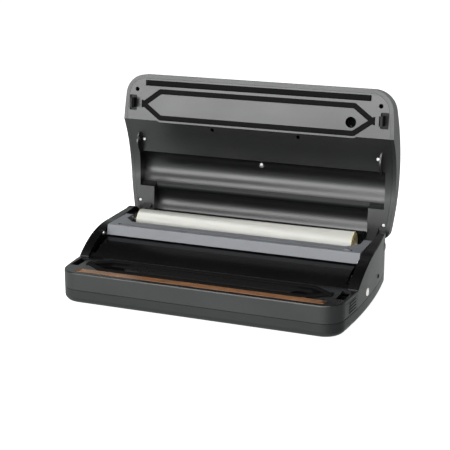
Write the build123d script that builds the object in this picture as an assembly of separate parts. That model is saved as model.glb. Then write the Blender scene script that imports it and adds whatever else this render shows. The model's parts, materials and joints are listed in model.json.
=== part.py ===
"""Countertop vacuum sealer with a roll bay, a film cutter and a hinged lid, shown open.

Millimetres, +X to the right of the user, +Y to the back, +Z up.  Every piece is first
placed with the front face of the base at y = 0, the table at z = 0 and the lid shut.
The lid's pieces are then turned open about the hinge, and the whole part is moved back
or forth so that the middle of its box lies at y = 0.
"""
import math
import os

from build123d import *

# Base body, in plan and in height
half_mid = 190.5
front_taper = 7.0
rear_taper = 8.0
front_corner = 26.0
rear_corner = 12.0
wall = 2.5
deck_wall = 3.6
foot_height = 3.0
foot_radius = 8.0
floor_thickness = 2.5
bottom_round = 8.0
tongue_height = 4.0
tongue_wall = 1.5
slot_count = 8
slot_pitch = 8.0
slot_length = 36.0
slot_width = 3.0
slot_y = 160.0
parting_z = 21.5
parting_gap = 0.6
deck_z = 43.8
edge_round = 1.5

# Rim line that the cheeks and the lid share
seal_gap = 2.2
rim_apex_y = 149.0
rim_rise = 28.5
rim_radius = 140.0
rim_rear_rise = 31.0

# Hinge
hinge_y = 206.5
hinge_rise = 12.2
hinge_round = 18.0
open_angle = 96.3
pin_radius = 2.5
pin_play = 0.05
knuckle_radius = 6.5
knuckle_inset = 18.0
knuckle_width = 13.0
boss_reach = 9.0
pin_end_play = 1.5

# Channel between the cheeks: ramp, rail seat and roll cradle
cheek_width = 14.0
ramp_start_y = 71.0
ramp_end_y = 104.0
ramp_rise = 13.0
ramp_bulge = 1.6
seat_rise = 1.5
roll_y = 177.0
roll_z = 66.0
roll_radius = 17.0
roll_length = 306.0
core_radius = 10.0
core_wall = 1.6
cradle_radius = 21.0
running_gap = 0.3

# Cutter frame
rail_front_y = 118.2
rail_lean = 4.0
rail_depth = 27.0
rail_bottom_z = 60.4
rail_height = 13.1
rail_round = 0.8
frame_side_gap = 1.2
arm_width = 10.5
arm_height = 8.0
pivot_radius = 2.0
pivot_y = 177.5
pivot_drop = 4.0
gusset = 14.0
track_width = 7.0
track_depth = 6.0
track_y = 130.0
blade_slot = 2.4
knob_length = 12.0

# Sealing strip on the deck and in the lid
strip_y = 13.4
bar_inset = 7.0
bar_width = 12.0
bar_height = 7.6
element_inset = 7.0
element_width = 2.6
element_thickness = 0.25
tape_inset = 0.6
tape_width = 15.0
tape_thickness = 0.25
pad_inset = 5.7
pad_width = 7.6
pad_height = 4.0
pad_proud = 1.7
pad_end_gap = 2.2

# Hexagonal gasket ring and the trough inside it
ring_y = 42.3
ring_half_depth = 21.5
ring_width = 7.1
ring_slant = 27.0
ring_neck = 4.0
ring_neck_half = 4.7
ring_inset = 7.0
ring_tip_half = 5.6
ring_round = 6.0
groove_depth = 1.8
gasket_proud = 0.5
gasket_gap = 0.3
trough_depth = 4.0
trough_shelf = 1.0
pit_depth = 9.0
pit_length = 31.0
pit_inset = 22.0
pit_half_depth = 9.0
suction_offset = 15.0

# Latches and release buttons
latch_inset = 11.5
latch_width = 11.0
latch_y = 30.7
latch_length = 21.0
pocket_y = 29.7
pocket_length = 31.0
hook_offset = 2.5
hook_thickness = 3.0
hook_length = 13.0
hook_reach = 12.0
nose_length = 2.3
nose_height = 2.6
catch_thickness = 2.5
release_travel = 3.5
button_y = 22.5
button_length = 41.0
button_wall = 2.4
button_gap = 0.5
grip_y = 37.5
grip_length = 22.0
grip_rise = 0.8
grip_height = 1.3
grip_pitch = 3.9
grip_rows = 4
spring_radius = 1.9
spring_wire = 0.6
spring_turns = 5

# Lid shell and liner
lid_front_y = 2.2
lid_rear_y = 202.0
lid_overhang = 1.5
lid_front_corner = 29.0
lid_rear_corner = 14.0
lid_rise = 54.0
lid_apex_y = 160.0
lid_front_rise = 20.0
lid_round = 9.0
shell_wall = 2.8
rim_band = 4.8
rim_lip = 3.6
liner_gap = 0.25
liner_wall = 2.4
flute_spare = 0.5
flute_y = 136.0
flute_radius = 26.0
flute_rise = 20.0
bay_inset = 3.0
bay_y = 181.0
bay_radius = 24.0
bay_rise = 22.0
ridge_round = 8.0
fin_inset = 4.3
fin_thickness = 2.0
fin_y = 96.0
fin_radius = 17.5
fin_sink = 6.0
fin_slot_play = 1.3
port_inset = 32.0
port_y = 46.1
port_radius = 7.2
port_depth = 15.0

# Keypad on top of the lid
keypad_y = 38.0
keypad_width = 118.0
keypad_depth = 32.0
keypad_thickness = 2.0
keypad_proud = 0.6
key_gap = 0.3
key_proud = 1.4
key_travel = 0.8
key_flange = 1.0
key_height = 12.0
light_radius = 1.6

# Fasteners
screw_radius = 1.5
screw_head_radius = 2.6
screw_head_height = 1.7
drive_half = 1.5
drive_width = 0.6
boss_radius = 4.2
seat_boss_radius = 6.0
seat_boss_height = 5.0

# Inside the base
pump_size = (34.0, 40.0, 30.0)
pump_x = 62.0
pump_cap_radius = 7.5
pump_cap_height = 3.0
motor_radius = 13.5
motor_length = 44.0
hose_radius = 3.5
hose_bend = 14.0
fitting_radius = 2.6
core_size = (44.0, 38.0, 34.0)
coil_size = (30.0, 52.0, 26.0)
transformer_x = -95.0
board_size = (86.0, 58.0, 1.6)
board_x = -10.0
board_y = 105.0
board_post = 7.0
inlet_x = -120.0
inlet_width = 26.0
inlet_height = 16.0
inlet_depth = 18.0
inlet_back = 4.0
inlet_z = 36.0
port_plug_radius = 5.0
port_plug_y = 106.0
port_plug_z = 30.0
vent_y = 164.0
vent_z = 32.0
vent_radius = 2.8

half_front = half_mid - front_taper
half_rear = half_mid - rear_taper
channel_half = half_mid - cheek_width
knuckle_inner_x = channel_half - knuckle_inset
fin_x = channel_half - fin_inset
latch_x = half_front - latch_inset
hook_x = latch_x + hook_offset
bar_half = latch_x - bar_inset
element_half = bar_half - element_inset
tape_half = bar_half - tape_inset
pad_half = bar_half - pad_inset
ring_tip_x = latch_x - ring_inset
ring_neck_x = ring_tip_x - ring_neck
ring_straight = ring_tip_x - ring_slant
pit_end_x = ring_tip_x - pit_inset
pit_start_x = pit_end_x - pit_length
suction_x = pit_end_x - suction_offset
lid_half_front = half_front + lid_overhang
lid_half_mid = half_mid + lid_overhang
lid_half_rear = half_rear + lid_overhang
flute_half = channel_half + flute_spare
bay_half = knuckle_inner_x - bay_inset
port_x = ring_tip_x - port_inset
lid_z = deck_z + seal_gap
hinge_z = lid_z + hinge_rise
base_depth = hinge_y + hinge_round
rim_centre_z = lid_z + rim_rise - rim_radius
floor_z = foot_height + floor_thickness
seat_top_z = foot_height + seat_boss_height
ramp_end_z = deck_z + ramp_rise
seat_z = ramp_end_z + seat_rise
cradle_z = roll_z - roll_radius - running_gap + cradle_radius
rail_top_z = rail_bottom_z + rail_height
frame_half = channel_half - frame_side_gap
notch_inner_x = knuckle_inner_x - frame_side_gap
pivot_z = rail_top_z - pivot_drop
lid_top_z = lid_z + lid_rise
deck_end_y = ring_y + ring_half_depth
lid_arc = ((lid_apex_y - lid_front_y) ** 2 + (lid_rise - lid_front_rise) ** 2) / (
    2 * (lid_rise - lid_front_rise)
)
flute_z = lid_z + flute_rise
bay_z = lid_z + bay_rise
transformer_y = roll_y - 8.0
pad_top_z = lid_z + pad_height - pad_proud
coil_z = floor_z + (core_size[2] - coil_size[2]) / 2
high_z = lid_top_z + 60.0


def rim_height(y):
    """Height of the lid's rim at y, lid shut."""
    if y < rim_apex_y:
        reach = math.sqrt(rim_radius**2 - (y - rim_apex_y) ** 2)
        return max(lid_z, rim_centre_z + reach)
    slope = (rim_rear_rise - rim_rise) / (lid_rear_y - rim_apex_y)
    return lid_z + rim_rise + slope * (y - rim_apex_y)


fin_z = rim_height(fin_y) + fin_sink


def block(x0, x1, y0, y1, z0, z1):
    """A box between two corners."""
    middle = Pos((x0 + x1) / 2, (y0 + y1) / 2, (z0 + z1) / 2)
    return middle * Box(abs(x1 - x0), abs(y1 - y0), abs(z1 - z0))


def stood(x, y, z, size):
    """A box of a given size that stands at z, its middle over x and y."""
    return Pos(x, y, z + size[2] / 2) * Box(*size)


def rod_z(x, y, z0, z1, radius):
    """An upright cylinder."""
    return Pos(x, y, (z0 + z1) / 2) * Cylinder(radius, abs(z1 - z0))


def rod_x(x0, x1, y, z, radius):
    """A cylinder that lies along X."""
    return Pos((x0 + x1) / 2, y, z) * Rot(0, 90, 0) * Cylinder(radius, abs(x1 - x0))


def rod_y(x, y0, y1, z, radius):
    """A cylinder that lies along Y."""
    return Pos(x, (y0 + y1) / 2, z) * Rot(90, 0, 0) * Cylinder(radius, abs(y1 - y0))


def side_prism(edges, x0, x1):
    """A closed outline drawn in Y and Z, drawn out from x0 to x1."""
    return Pos(x0, 0, 0) * extrude(Plane.YZ * make_face(edges), amount=x1 - x0)


def across(edges, half):
    """A closed outline drawn in Y and Z, drawn out to both sides."""
    return side_prism(edges, -half, half)


def mirrored(solid):
    """The same piece on the other side of the middle plane."""
    return mirror(solid, about=Plane.YZ)


def pair(solid):
    """A piece and its mirror image."""
    return [solid, mirrored(solid)]


def plan(half_0, half_1, half_2, y0, y1, round_0, round_1):
    """A plan outline with bowed sides and four rounded corners."""
    middle = (y0 + y1) / 2
    face = make_face(
        [
            Line((-half_0, y0), (half_0, y0)),
            ThreePointArc((half_0, y0), (half_1, middle), (half_2, y1)),
            Line((half_2, y1), (-half_2, y1)),
            ThreePointArc((-half_2, y1), (-half_1, middle), (-half_0, y0)),
        ]
    )
    face = fillet(face.vertices().group_by(Axis.Y)[0], round_0)
    return fillet(face.vertices().group_by(Axis.Y)[-1], round_1)


def base_body(inset, z0, z1):
    """The base's outline, moved inwards by inset, between two heights."""
    face = plan(
        half_front - inset,
        half_mid - inset,
        half_rear - inset,
        inset,
        base_depth - inset,
        front_corner - inset,
        rear_corner - inset,
    )
    return Pos(0, 0, z0) * extrude(face, amount=z1 - z0)


def lid_body(inset, z0, z1):
    """The lid's outline, moved inwards by inset, between two heights."""
    face = plan(
        lid_half_front - inset,
        lid_half_mid - inset,
        lid_half_rear - inset,
        lid_front_y + inset,
        lid_rear_y - inset,
        lid_front_corner - inset,
        lid_rear_corner - inset,
    )
    return Pos(0, 0, z0) * extrude(face, amount=z1 - z0)


def rim_arc(drop):
    """The arc of the rim line, drop below it, and the points where it starts and ends."""
    radius = rim_radius - drop
    low = lid_z - drop
    start = (rim_apex_y - math.sqrt(radius**2 - (low - rim_centre_z) ** 2), low)
    end = (rim_apex_y, rim_centre_z + radius)
    turn = math.acos((low - rim_centre_z) / radius) / 2
    half_way = (rim_apex_y - radius * math.sin(turn), rim_centre_z + radius * math.cos(turn))
    return ThreePointArc(start, half_way, end), start, end


def base_profile(drop):
    """Side view of all that lies under the base's top line, lowered by drop."""
    arc, start, end = rim_arc(seal_gap + drop)
    turn = hinge_round - drop
    lead = hinge_round / 4
    meet = (hinge_y - lead, hinge_z + math.sqrt(turn**2 - lead**2))
    crest = (hinge_y + turn * math.sin(math.pi / 4), hinge_z + turn * math.cos(math.pi / 4))
    back = (hinge_y + turn, hinge_z)
    return [
        Line((-1, 0), (-1, start[1])),
        Line((-1, start[1]), start),
        arc,
        Line(end, meet),
        ThreePointArc(meet, crest, back),
        Line(back, (base_depth + 1, hinge_z)),
        Line((base_depth + 1, hinge_z), (base_depth + 1, 0)),
        Line((base_depth + 1, 0), (-1, 0)),
    ]


def channel(grow):
    """The open space between the cheeks and round the hinge knuckles, grown by grow."""
    ramp_foot = (ramp_start_y, deck_z - grow)
    ramp_top = (ramp_end_y, ramp_end_z - grow)
    ramp_middle = (
        (ramp_start_y + ramp_end_y) / 2,
        (deck_z + ramp_end_z) / 2 + ramp_bulge - grow,
    )
    radius = cradle_radius + grow
    drop = cradle_z - (seat_z - grow)
    seat_end = (roll_y - math.sqrt(radius**2 - drop**2), seat_z - grow)
    seat_start = (rail_front_y - rail_lean, seat_z - grow)
    cradle_end = (roll_y + radius, cradle_z)
    deck_end = (deck_end_y, deck_z - grow)
    space = across(
        [
            Line((deck_end[0], high_z), deck_end),
            Line(deck_end, ramp_foot),
            ThreePointArc(ramp_foot, ramp_middle, ramp_top),
            Line(ramp_top, seat_start),
            Line(seat_start, seat_end),
            ThreePointArc(seat_end, (roll_y, cradle_z - radius), cradle_end),
            Line(cradle_end, (cradle_end[0], high_z)),
            Line((cradle_end[0], high_z), (deck_end[0], high_z)),
        ],
        channel_half + grow,
    )
    notch = block(
        notch_inner_x - grow,
        channel_half + grow,
        hinge_y - hinge_round - grow,
        base_depth + 1,
        hinge_z - knuckle_radius - frame_side_gap - grow,
        high_z,
    )
    return space + notch + mirrored(notch)


def ring_outline(inner):
    """Half of the hexagonal gasket's outline, in plan: its outer or its inner edge."""
    if inner:
        half = ring_half_depth - ring_width
        side = ring_straight - ring_width / 3
        return [(-side, half), (side, half), (ring_tip_x - 9.5, 0)]
    neck = ring_neck_half
    return [
        (-ring_straight, ring_half_depth),
        (ring_straight, ring_half_depth),
        (ring_neck_x, neck),
        (ring_tip_x, ring_tip_half),
        (ring_tip_x, 0),
    ]


def ring_face(inner, shrink=0.0):
    """The area inside the gasket's outer or inner edge, shrunk all round."""
    top = [p for p in ring_outline(inner) if p[0] > 0]
    if inner:
        points = top + [(x, -y) for x, y in reversed(top[:-1])]
    else:
        points = top[:-1] + [(x, -y) for x, y in reversed(top[:-1])]
    points = points + [(-x, y) for x, y in reversed(points)]
    face = make_face(Polyline(*points, close=True))
    if shrink:
        face = offset(face, amount=-shrink, kind=Kind.INTERSECTION)
    corners = [v for v in face.vertices() if abs(v.Y) > ring_half_depth / 2]
    return Pos(0, ring_y, 0) * fillet(corners, ring_round - shrink)


def raised(face, z0, z1):
    """A plan outline drawn up from z0 to z1."""
    return Pos(0, 0, z0) * extrude(face, amount=z1 - z0)


def trough(grow):
    """The vacuum trough inside the gasket, with a deeper pit at each end, grown by grow."""
    basin = raised(ring_face(True, trough_shelf - grow), deck_z - trough_depth - grow, deck_z + 1)
    half = pit_half_depth + grow
    pit_face = SlotOverall(pit_end_x - pit_start_x + 2 * grow, 2 * half)
    middle = Pos((pit_start_x + pit_end_x) / 2, ring_y, 0)
    pit = raised(middle * pit_face, deck_z - pit_depth - grow, deck_z - trough_depth + 1)
    return basin + pit + mirrored(pit)


def seal_slot(grow):
    """The slot in the deck that holds the sealing bar, grown by grow."""
    half = bar_half + liner_gap + grow
    depth = bar_width / 2 + liner_gap + grow
    low = deck_z - bar_height - grow
    return block(-half, half, strip_y - depth, strip_y + depth, low, deck_z + 1)


def latch_opening(y, length, z0, z1):
    """An opening that a lid hook goes through, on the right."""
    face = RectangleRounded(latch_width, length, 1.5)
    middle = Pos(latch_x + latch_width / 2, y + length / 2, 0)
    return raised(middle * face, z0, z1)


def fin_opening():
    """The slot in the ramp that a lid fin goes into, on the right."""
    return block(
        fin_x - fin_slot_play,
        channel_half - 0.2,
        fin_y - fin_radius - fin_slot_play,
        fin_y + fin_radius + fin_slot_play,
        deck_z,
        high_z,
    )


def button_window(grow):
    """The opening in the side wall round a release button, on the right."""
    return block(
        half_front - 25,
        half_mid + 5,
        button_y - grow,
        button_y + button_length + grow,
        parting_z + parting_gap - grow,
        deck_z - deck_wall - button_gap + grow,
    )


# Place and top end of each screw post on one side of the housing
tray_posts = [
    (100.0, 30.0, deck_z - trough_depth - wall / 2),
    (channel_half - 16.5, 138.0, seat_z - wall / 2),
    (70.0, roll_y + cradle_radius + boss_radius + 1, hinge_z + hinge_round - wall),
]
tray_screw_places = [(side * x, y) for x, y, top in tray_posts for side in (1, -1)]
foot_rows = [(half_front - 25.5, 24.0), (half_rear - 30.5, 198.0)]
foot_places = [(side * x, y) for x, y in foot_rows for side in (1, -1)]
cheek_screw_y = 111.0
cheek_screw_z = 64.0
cheek_screw_length = 5.0
spring_y = latch_y + latch_length / 2
catch_z = lid_z - hook_reach + nose_height + running_gap
catch_x = hook_x - nose_length - running_gap
catch_depth = 6.0
spring_z = catch_z + catch_thickness / 2
spring_length = 2 * release_travel + 0.5
spring_stop_x = catch_x - catch_depth - spring_length


def housing_form():
    """The housing's outside, with rounded edges round the deck and along the cheeks."""
    deck = base_body(0, parting_z, deck_z)
    deck = fillet(deck.faces().sort_by(Axis.Z)[-1].edges(), edge_round)
    rise = base_body(0, parting_z, high_z) & across(base_profile(0), half_mid + 5)
    rim_start = rim_arc(seal_gap)[1][0]
    rise = rise & block(-half_mid, half_mid, rim_start + edge_round, base_depth, 0, high_z)
    cheek_rims = []
    for edge in rise.edges():
        box = edge.bounding_box()
        on_side = box.size.X < half_mid / 2 and box.size.Y > hinge_round
        if on_side and box.min.Z > deck_z and box.max.Y < hinge_y:
            cheek_rims.append(edge)
    return deck + fillet(cheek_rims, edge_round)


def make_base_housing():
    """Upper moulding of the base: walls, deck, cheeks, ramp, roll cradle and hinge notches."""
    outer = housing_form() - channel(0)
    inner = base_body(wall, parting_z - 1, high_z) & across(base_profile(deck_wall), half_mid + 5)
    inner = inner - channel(wall) - trough(wall) - seal_slot(wall)
    housing = outer - inner
    for x, y, top in tray_posts:
        post = rod_z(x, y, seat_top_z, top, boss_radius) & across(base_profile(wall / 2), half_mid)
        housing = housing + post + mirrored(post)
    for side in (1, -1):
        reach = side * (channel_half + boss_reach)
        housing = housing + rod_x(side * channel_half, reach, pivot_y, pivot_z, boss_radius)
        housing = housing + rod_x(side * channel_half, reach, hinge_y, hinge_z, boss_radius + 1)
        inner_end = side * (notch_inner_x - boss_reach)
        housing = housing + rod_x(inner_end, side * notch_inner_x, hinge_y, hinge_z, boss_radius + 1)
        boss_end = side * (channel_half + cheek_screw_length + wall)
        place = (cheek_screw_y, cheek_screw_z)
        housing = housing + rod_x(side * channel_half, boss_end, *place, boss_radius - 1)
        housing = housing + block(
            side * (spring_stop_x - wall),
            side * spring_stop_x,
            spring_y - 6,
            spring_y + 6,
            spring_z - 5,
            deck_z - deck_wall + 0.5,
        )
        bracket = block(
            side * (switch_x - switch_width / 2 - 2),
            side * (switch_x - switch_width / 2),
            switch_y - 9,
            switch_y + 9,
            switch_z,
            ramp_end_z,
        )
        housing = housing + (bracket - channel(wall / 2))
    ring = raised(ring_face(False) - ring_face(True), deck_z - groove_depth, deck_z + 1)
    housing = housing - ring - trough(0) - seal_slot(0)
    opening = latch_opening(pocket_y, pocket_length, deck_z - deck_wall - 1, deck_z + 1)
    housing = housing - opening - mirrored(opening)
    housing = housing - fin_opening() - mirrored(fin_opening())
    window = button_window(button_gap) & base_body(-5, 0, high_z)
    window = window - base_body(wall + 0.5, 0, high_z)
    housing = housing - window - mirrored(window)
    for side in (1, -1):
        pin_end = side * (channel_half + boss_reach - pin_end_play / 2)
        pin_start = side * (notch_inner_x - boss_reach + pin_end_play / 2)
        housing = housing - rod_x(pin_start, pin_end, hinge_y, hinge_z, pin_radius + pin_play)
        pin_start = side * (frame_half - arm_width)
        housing = housing - rod_x(pin_start, pin_end, pivot_y, pivot_z, pivot_radius + pin_play)
        hole_end = side * (channel_half + cheek_screw_length + 0.5)
        place = (cheek_screw_y, cheek_screw_z)
        housing = housing - rod_x(side * (channel_half - 1), hole_end, *place, screw_radius)
    for x, y in tray_screw_places:
        housing = housing - rod_z(x, y, seat_top_z - 1, seat_top_z + 12, screw_radius)
    housing = housing - rod_z(suction_x, ring_y, 0, deck_z, fitting_radius + 0.1)
    hole_start = half_rear - rear_corner
    plug_hole = rod_x(hole_start, half_mid + 5, port_plug_y, port_plug_z, port_plug_radius + 0.1)
    vent_hole = rod_x(hole_start, half_mid + 5, vent_y, vent_z, vent_radius + 0.1)
    return housing - plug_hole - vent_hole - inlet_block(0.15)


def split_housing(housing):
    """The upper moulding as its four parts: cheeks and rear, front deck, trough tray, roll bay."""
    wide = half_mid + 5
    bed = raised(ring_face(False), 0, high_z)
    bay_end = roll_y + cradle_radius + wall
    inlay = block(-channel_half, channel_half, deck_end_y, bay_end, 0, high_z)
    front = block(-wide, wide, -5, deck_end_y, 0, high_z)
    return {
        "base_housing": housing - front - inlay,
        "deck_panel": (housing & front) - bed,
        "trough_tray": housing & bed,
        "roll_bay": housing & inlay,
    }


def make_bottom_tray():
    """Lower moulding: floor, low walls, a tongue inside the housing, screw seats and vents."""
    shell = base_body(0, foot_height, parting_z - parting_gap)
    shell = fillet(shell.faces().sort_by(Axis.Z)[0].edges(), bottom_round)
    full = shell
    cavity = base_body(wall, floor_z, parting_z)
    cavity = fillet(cavity.faces().sort_by(Axis.Z)[0].edges(), bottom_round - wall)
    tongue_gap = wall + liner_gap
    tongue = base_body(tongue_gap, parting_z - tongue_height, parting_z + tongue_height / 2)
    tongue = tongue + base_body(wall / 2, parting_z - tongue_height, parting_z - 1)
    tongue = tongue - base_body(tongue_gap + tongue_wall, 0, deck_z)
    reach = button_window(button_gap + 1)
    tray = shell - cavity + (tongue - reach - mirrored(reach) - bosses_clear())
    for x, y in tray_screw_places:
        tray = tray + (rod_z(x, y, foot_height, seat_top_z, seat_boss_radius) & full)
    for x, y in board_posts():
        tray = tray + rod_z(x, y, floor_z - 0.5, floor_z + board_post, 3.0)
    for x, y in tray_screw_places:
        tray = tray - rod_z(x, y, 0, seat_top_z - 2, screw_head_radius + 0.4)
        tray = tray - rod_z(x, y, 0, seat_top_z + 1, screw_radius + 0.3)
    for x, y in board_posts():
        tray = tray - rod_z(x, y, floor_z + 1, floor_z + board_post + 1, 1.2)
    for row in range(slot_count):
        x = transformer_x + slot_pitch * (row - (slot_count - 1) / 2)
        slot = Pos(x, slot_y, 0) * SlotOverall(slot_length, slot_width, rotation=90)
        slot = raised(slot, 0, floor_z + 1)
        tray = tray - slot - mirrored(slot)
    return tray


def bosses_clear():
    """Room round the housing's screw posts and the mains inlet, taken from the tray's tongue."""
    room = inlet_block(1.0)
    for x, y in tray_screw_places:
        room = room + rod_z(x, y, 0, deck_z, boss_radius + 0.5)
    return room


def board_posts():
    """Places of the four posts under the control board."""
    dx = board_size[0] / 2 - 5
    dy = board_size[1] / 2 - 5
    return [(board_x + i * dx, board_y + j * dy) for i in (-1, 1) for j in (-1, 1)]


def make_rubber_feet():
    """Four round feet with a hollow middle."""
    feet = []
    for x, y in foot_places:
        foot = rod_z(x, y, 0, foot_height, foot_radius)
        foot = fillet(foot.edges().group_by(Axis.Z)[0], 0.8)
        feet.append(foot - rod_z(x, y, -1, 1.2, foot_radius / 2))
    return feet


def screw_up(x, y, seat, length):
    """A pan-head screw put in from below, its head under seat."""
    head = rod_z(x, y, seat - screw_head_height, seat, screw_head_radius)
    head = fillet(head.edges().group_by(Axis.Z)[0], screw_head_height * 0.6)
    low = seat - 2 * screw_head_height
    for dx, dy in ((drive_half, drive_width / 2), (drive_width / 2, drive_half)):
        head = head - block(x - dx, x + dx, y - dy, y + dy, low, seat - screw_head_height / 2)
    return head + rod_z(x, y, seat, seat + length, screw_radius)


def make_tray_screws():
    """Six screws that hold the tray to the housing."""
    return [screw_up(x, y, seat_top_z - 2, 12) for x, y in tray_screw_places]


def make_cheek_screws():
    """A screw on the inner face of each cheek."""
    place = (cheek_screw_y, cheek_screw_z)
    head = rod_x(channel_half - screw_head_height, channel_half, *place, screw_head_radius)
    head = fillet(head.edges().group_by(Axis.X)[0], screw_head_height * 0.6)
    deep = channel_half - screw_head_height / 2
    for half_y, half_z in ((drive_half, drive_width / 2), (drive_width / 2, drive_half)):
        y0, y1 = cheek_screw_y - half_y, cheek_screw_y + half_y
        z0, z1 = cheek_screw_z - half_z, cheek_screw_z + half_z
        head = head - block(channel_half - 2 * screw_head_height, deep, y0, y1, z0, z1)
    shank = rod_x(channel_half, channel_half + cheek_screw_length, *place, screw_radius)
    return pair(head + shank)


def make_seal_bar():
    """Heat-proof bar under the sealing tape, with a shallow channel for the heating ribbon."""
    low = deck_z - bar_height
    depth = bar_width / 2
    bar = block(-bar_half, bar_half, strip_y - depth, strip_y + depth, low, deck_z - 0.1)
    bar = chamfer(bar.edges().filter_by(Axis.X).group_by(Axis.Z)[-1], 0.6)
    half = element_half + 0.2
    width = element_width / 2 + 0.1
    low = deck_z - 0.1 - element_thickness
    return bar - block(-half, half, strip_y - width, strip_y + width, low, deck_z)


def make_heating_element():
    """Flat resistance ribbon along the bar."""
    width = element_width / 2
    low = deck_z - 0.1 - element_thickness
    return block(-element_half, element_half, strip_y - width, strip_y + width, low, deck_z - 0.1)


def make_seal_tape():
    """Coated glass-cloth tape that covers the bar."""
    face = Pos(0, strip_y, 0) * RectangleRounded(2 * tape_half, tape_width, 1.2)
    return raised(face, deck_z, deck_z + tape_thickness)


def make_tape_clips():
    """A folded end clip on the tape, left and right."""
    top = deck_z + tape_thickness
    start = pad_half + 0.7
    clip = block(start, tape_half - 0.2, strip_y - 5, strip_y + 5, top, top + 0.5)
    clip = fillet(clip.edges().filter_by(Axis.Z), 1.0)
    hole = rod_z((start + tape_half) / 2, strip_y, top - 1, top + 2, 1.1)
    return pair(clip - hole)


def gasket(z0, z1):
    """The hexagonal foam ring between two heights."""
    return raised(ring_face(False, 0.15) - ring_face(True, -0.15), z0, z1)


def make_lower_gasket():
    """Foam ring in the deck."""
    return gasket(deck_z - groove_depth, lid_z - gasket_proud - gasket_gap)


def make_upper_gasket():
    """Foam ring in the lid."""
    return gasket(lid_z - gasket_proud, lid_z + groove_depth - 0.4)


def make_suction_fitting():
    """Barbed nozzle from the trough's pit to the hose."""
    low = deck_z - pit_depth - wall
    stem = rod_z(suction_x, ring_y, low - 8, deck_z - pit_depth + 0.5, fitting_radius)
    flange = rod_z(suction_x, ring_y, low - 1.5, low, fitting_radius + 2)
    return stem + flange - rod_z(suction_x, ring_y, 0, deck_z, fitting_radius - 1)


def hose_path():
    """Route of the hose from the trough's nozzle to the pump's inlet."""
    low = deck_z - pit_depth - wall - 8
    run_z = low - hose_bend
    pump_end = pump_x + pump_size[0] / 2 + 8
    pump_y = transformer_y
    return [
        (suction_x, ring_y, low),
        (suction_x, ring_y, run_z),
        (suction_x, pump_y, run_z),
        (pump_end, pump_y, run_z),
    ]


def make_vacuum_hose():
    """Soft hose from the trough to the pump."""
    points = hose_path()
    path = FilletPolyline(*points, radius=hose_bend * 0.9)
    start = Plane(origin=points[0], z_dir=(0, 0, -1))
    return sweep(start * Circle(hose_radius), path=path)


def make_vacuum_pump():
    """Diaphragm pump head with its two valve caps and its inlet nozzle."""
    length, depth, height = pump_size
    body = fillet(stood(pump_x, roll_y, floor_z, pump_size).edges().filter_by(Axis.Z), 5)
    for side in (-1, 1):
        cap_y = roll_y + side * (depth / 2 - pump_cap_radius - 3)
        top = floor_z + height
        body = body + rod_z(pump_x, cap_y, top, top + pump_cap_height, pump_cap_radius)
    end_x, end_y, end_z = hose_path()[-1]
    return body + rod_x(pump_x + length / 2 - 1, end_x, end_y, end_z, fitting_radius)


def make_pump_motor():
    """Motor that drives the pump, with its shaft boss."""
    start = pump_x - pump_size[0] / 2
    z = floor_z + motor_radius
    can = rod_x(start - motor_length, start - 3, roll_y, z, motor_radius)
    can = fillet(can.edges().group_by(Axis.X)[0], 2.0)
    can = can + rod_x(start - motor_length - 3, start - motor_length + 1, roll_y, z, 4.5)
    return can + rod_x(start - 3, start, roll_y, z, 8.0)


def make_transformer_core():
    """Laminated iron core with a window for the coil."""
    core = stood(transformer_x, transformer_y, floor_z, core_size)
    core = chamfer(core.edges().filter_by(Axis.Y), 1.5)
    return core - stood(transformer_x, transformer_y, coil_z, coil_size)


def make_transformer_coil():
    """Wound bobbin through the core's window."""
    coil = stood(transformer_x, transformer_y, coil_z, coil_size)
    return fillet(coil.edges().filter_by(Axis.Y), 3.0)


def make_control_board():
    """Printed circuit board on the tray's posts."""
    low = floor_z + board_post
    board = stood(board_x, board_y, low, board_size)
    for x, y in board_posts():
        board = board - rod_z(x, y, low - 1, low + board_size[2] + 1, 1.6)
    return board


def make_board_components():
    """Relay, capacitors and terminal block on the board."""
    low = floor_z + board_post + board_size[2]
    relay = block(board_x - 30, board_x - 12, board_y - 8, board_y + 8, low, low + 14)
    terminal = block(board_x - 20, board_x + 20, board_y + 14, board_y + 22, low, low + 9)
    caps = [rod_z(board_x + 2 + 14 * i, board_y - 4, low, low + 15, 5.0) for i in range(3)]
    return [relay, terminal] + caps


def inlet_block(grow):
    """The mains inlet's outer box, grown by grow."""
    return block(
        inlet_x - inlet_width / 2 - grow,
        inlet_x + inlet_width / 2 + grow,
        base_depth - inlet_depth,
        base_depth + grow,
        inlet_z - inlet_height / 2 - grow,
        inlet_z + inlet_height / 2 + grow,
    )


def make_mains_inlet():
    """Two-pole appliance inlet in the rear wall, a figure-eight socket."""
    socket = Plane.XZ * SlotOverall(17.0, 8.6)
    cut = Pos(inlet_x, base_depth, inlet_z) * extrude(socket, amount=inlet_depth - inlet_back)
    return inlet_block(0) - cut


def make_inlet_pins():
    """The inlet's two contact pins."""
    back = base_depth - inlet_depth + inlet_back
    pins = []
    for side in (-1, 1):
        pins.append(rod_y(inlet_x + side * 4.2, back, base_depth - 4, inlet_z, 1.2))
    return pins


def make_accessory_port():
    """Round hose port in the right wall, with a domed rim."""
    tip = half_mid + 0.9
    port = rod_x(half_mid - 12, tip, port_plug_y, port_plug_z, port_plug_radius)
    port = fillet(port.edges().group_by(Axis.X)[-1], 0.8)
    return port - rod_x(half_mid - 20, half_mid + 9, port_plug_y, port_plug_z, 1.4)


def make_vent_grommet():
    """Rubber grommet round the air vent in the right wall."""
    x = half_mid - 3.6
    ring = rod_x(x - 3, x + 2.6, vent_y, vent_z, vent_radius)
    return ring - rod_x(x - 9, x + 9, vent_y, vent_z, 1.2)


switch_x = fin_x + fin_thickness / 2
switch_width = 6.4
switch_y = fin_y
switch_height = 12.0
switch_z = fin_z - fin_radius - 0.5 - switch_height


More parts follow.
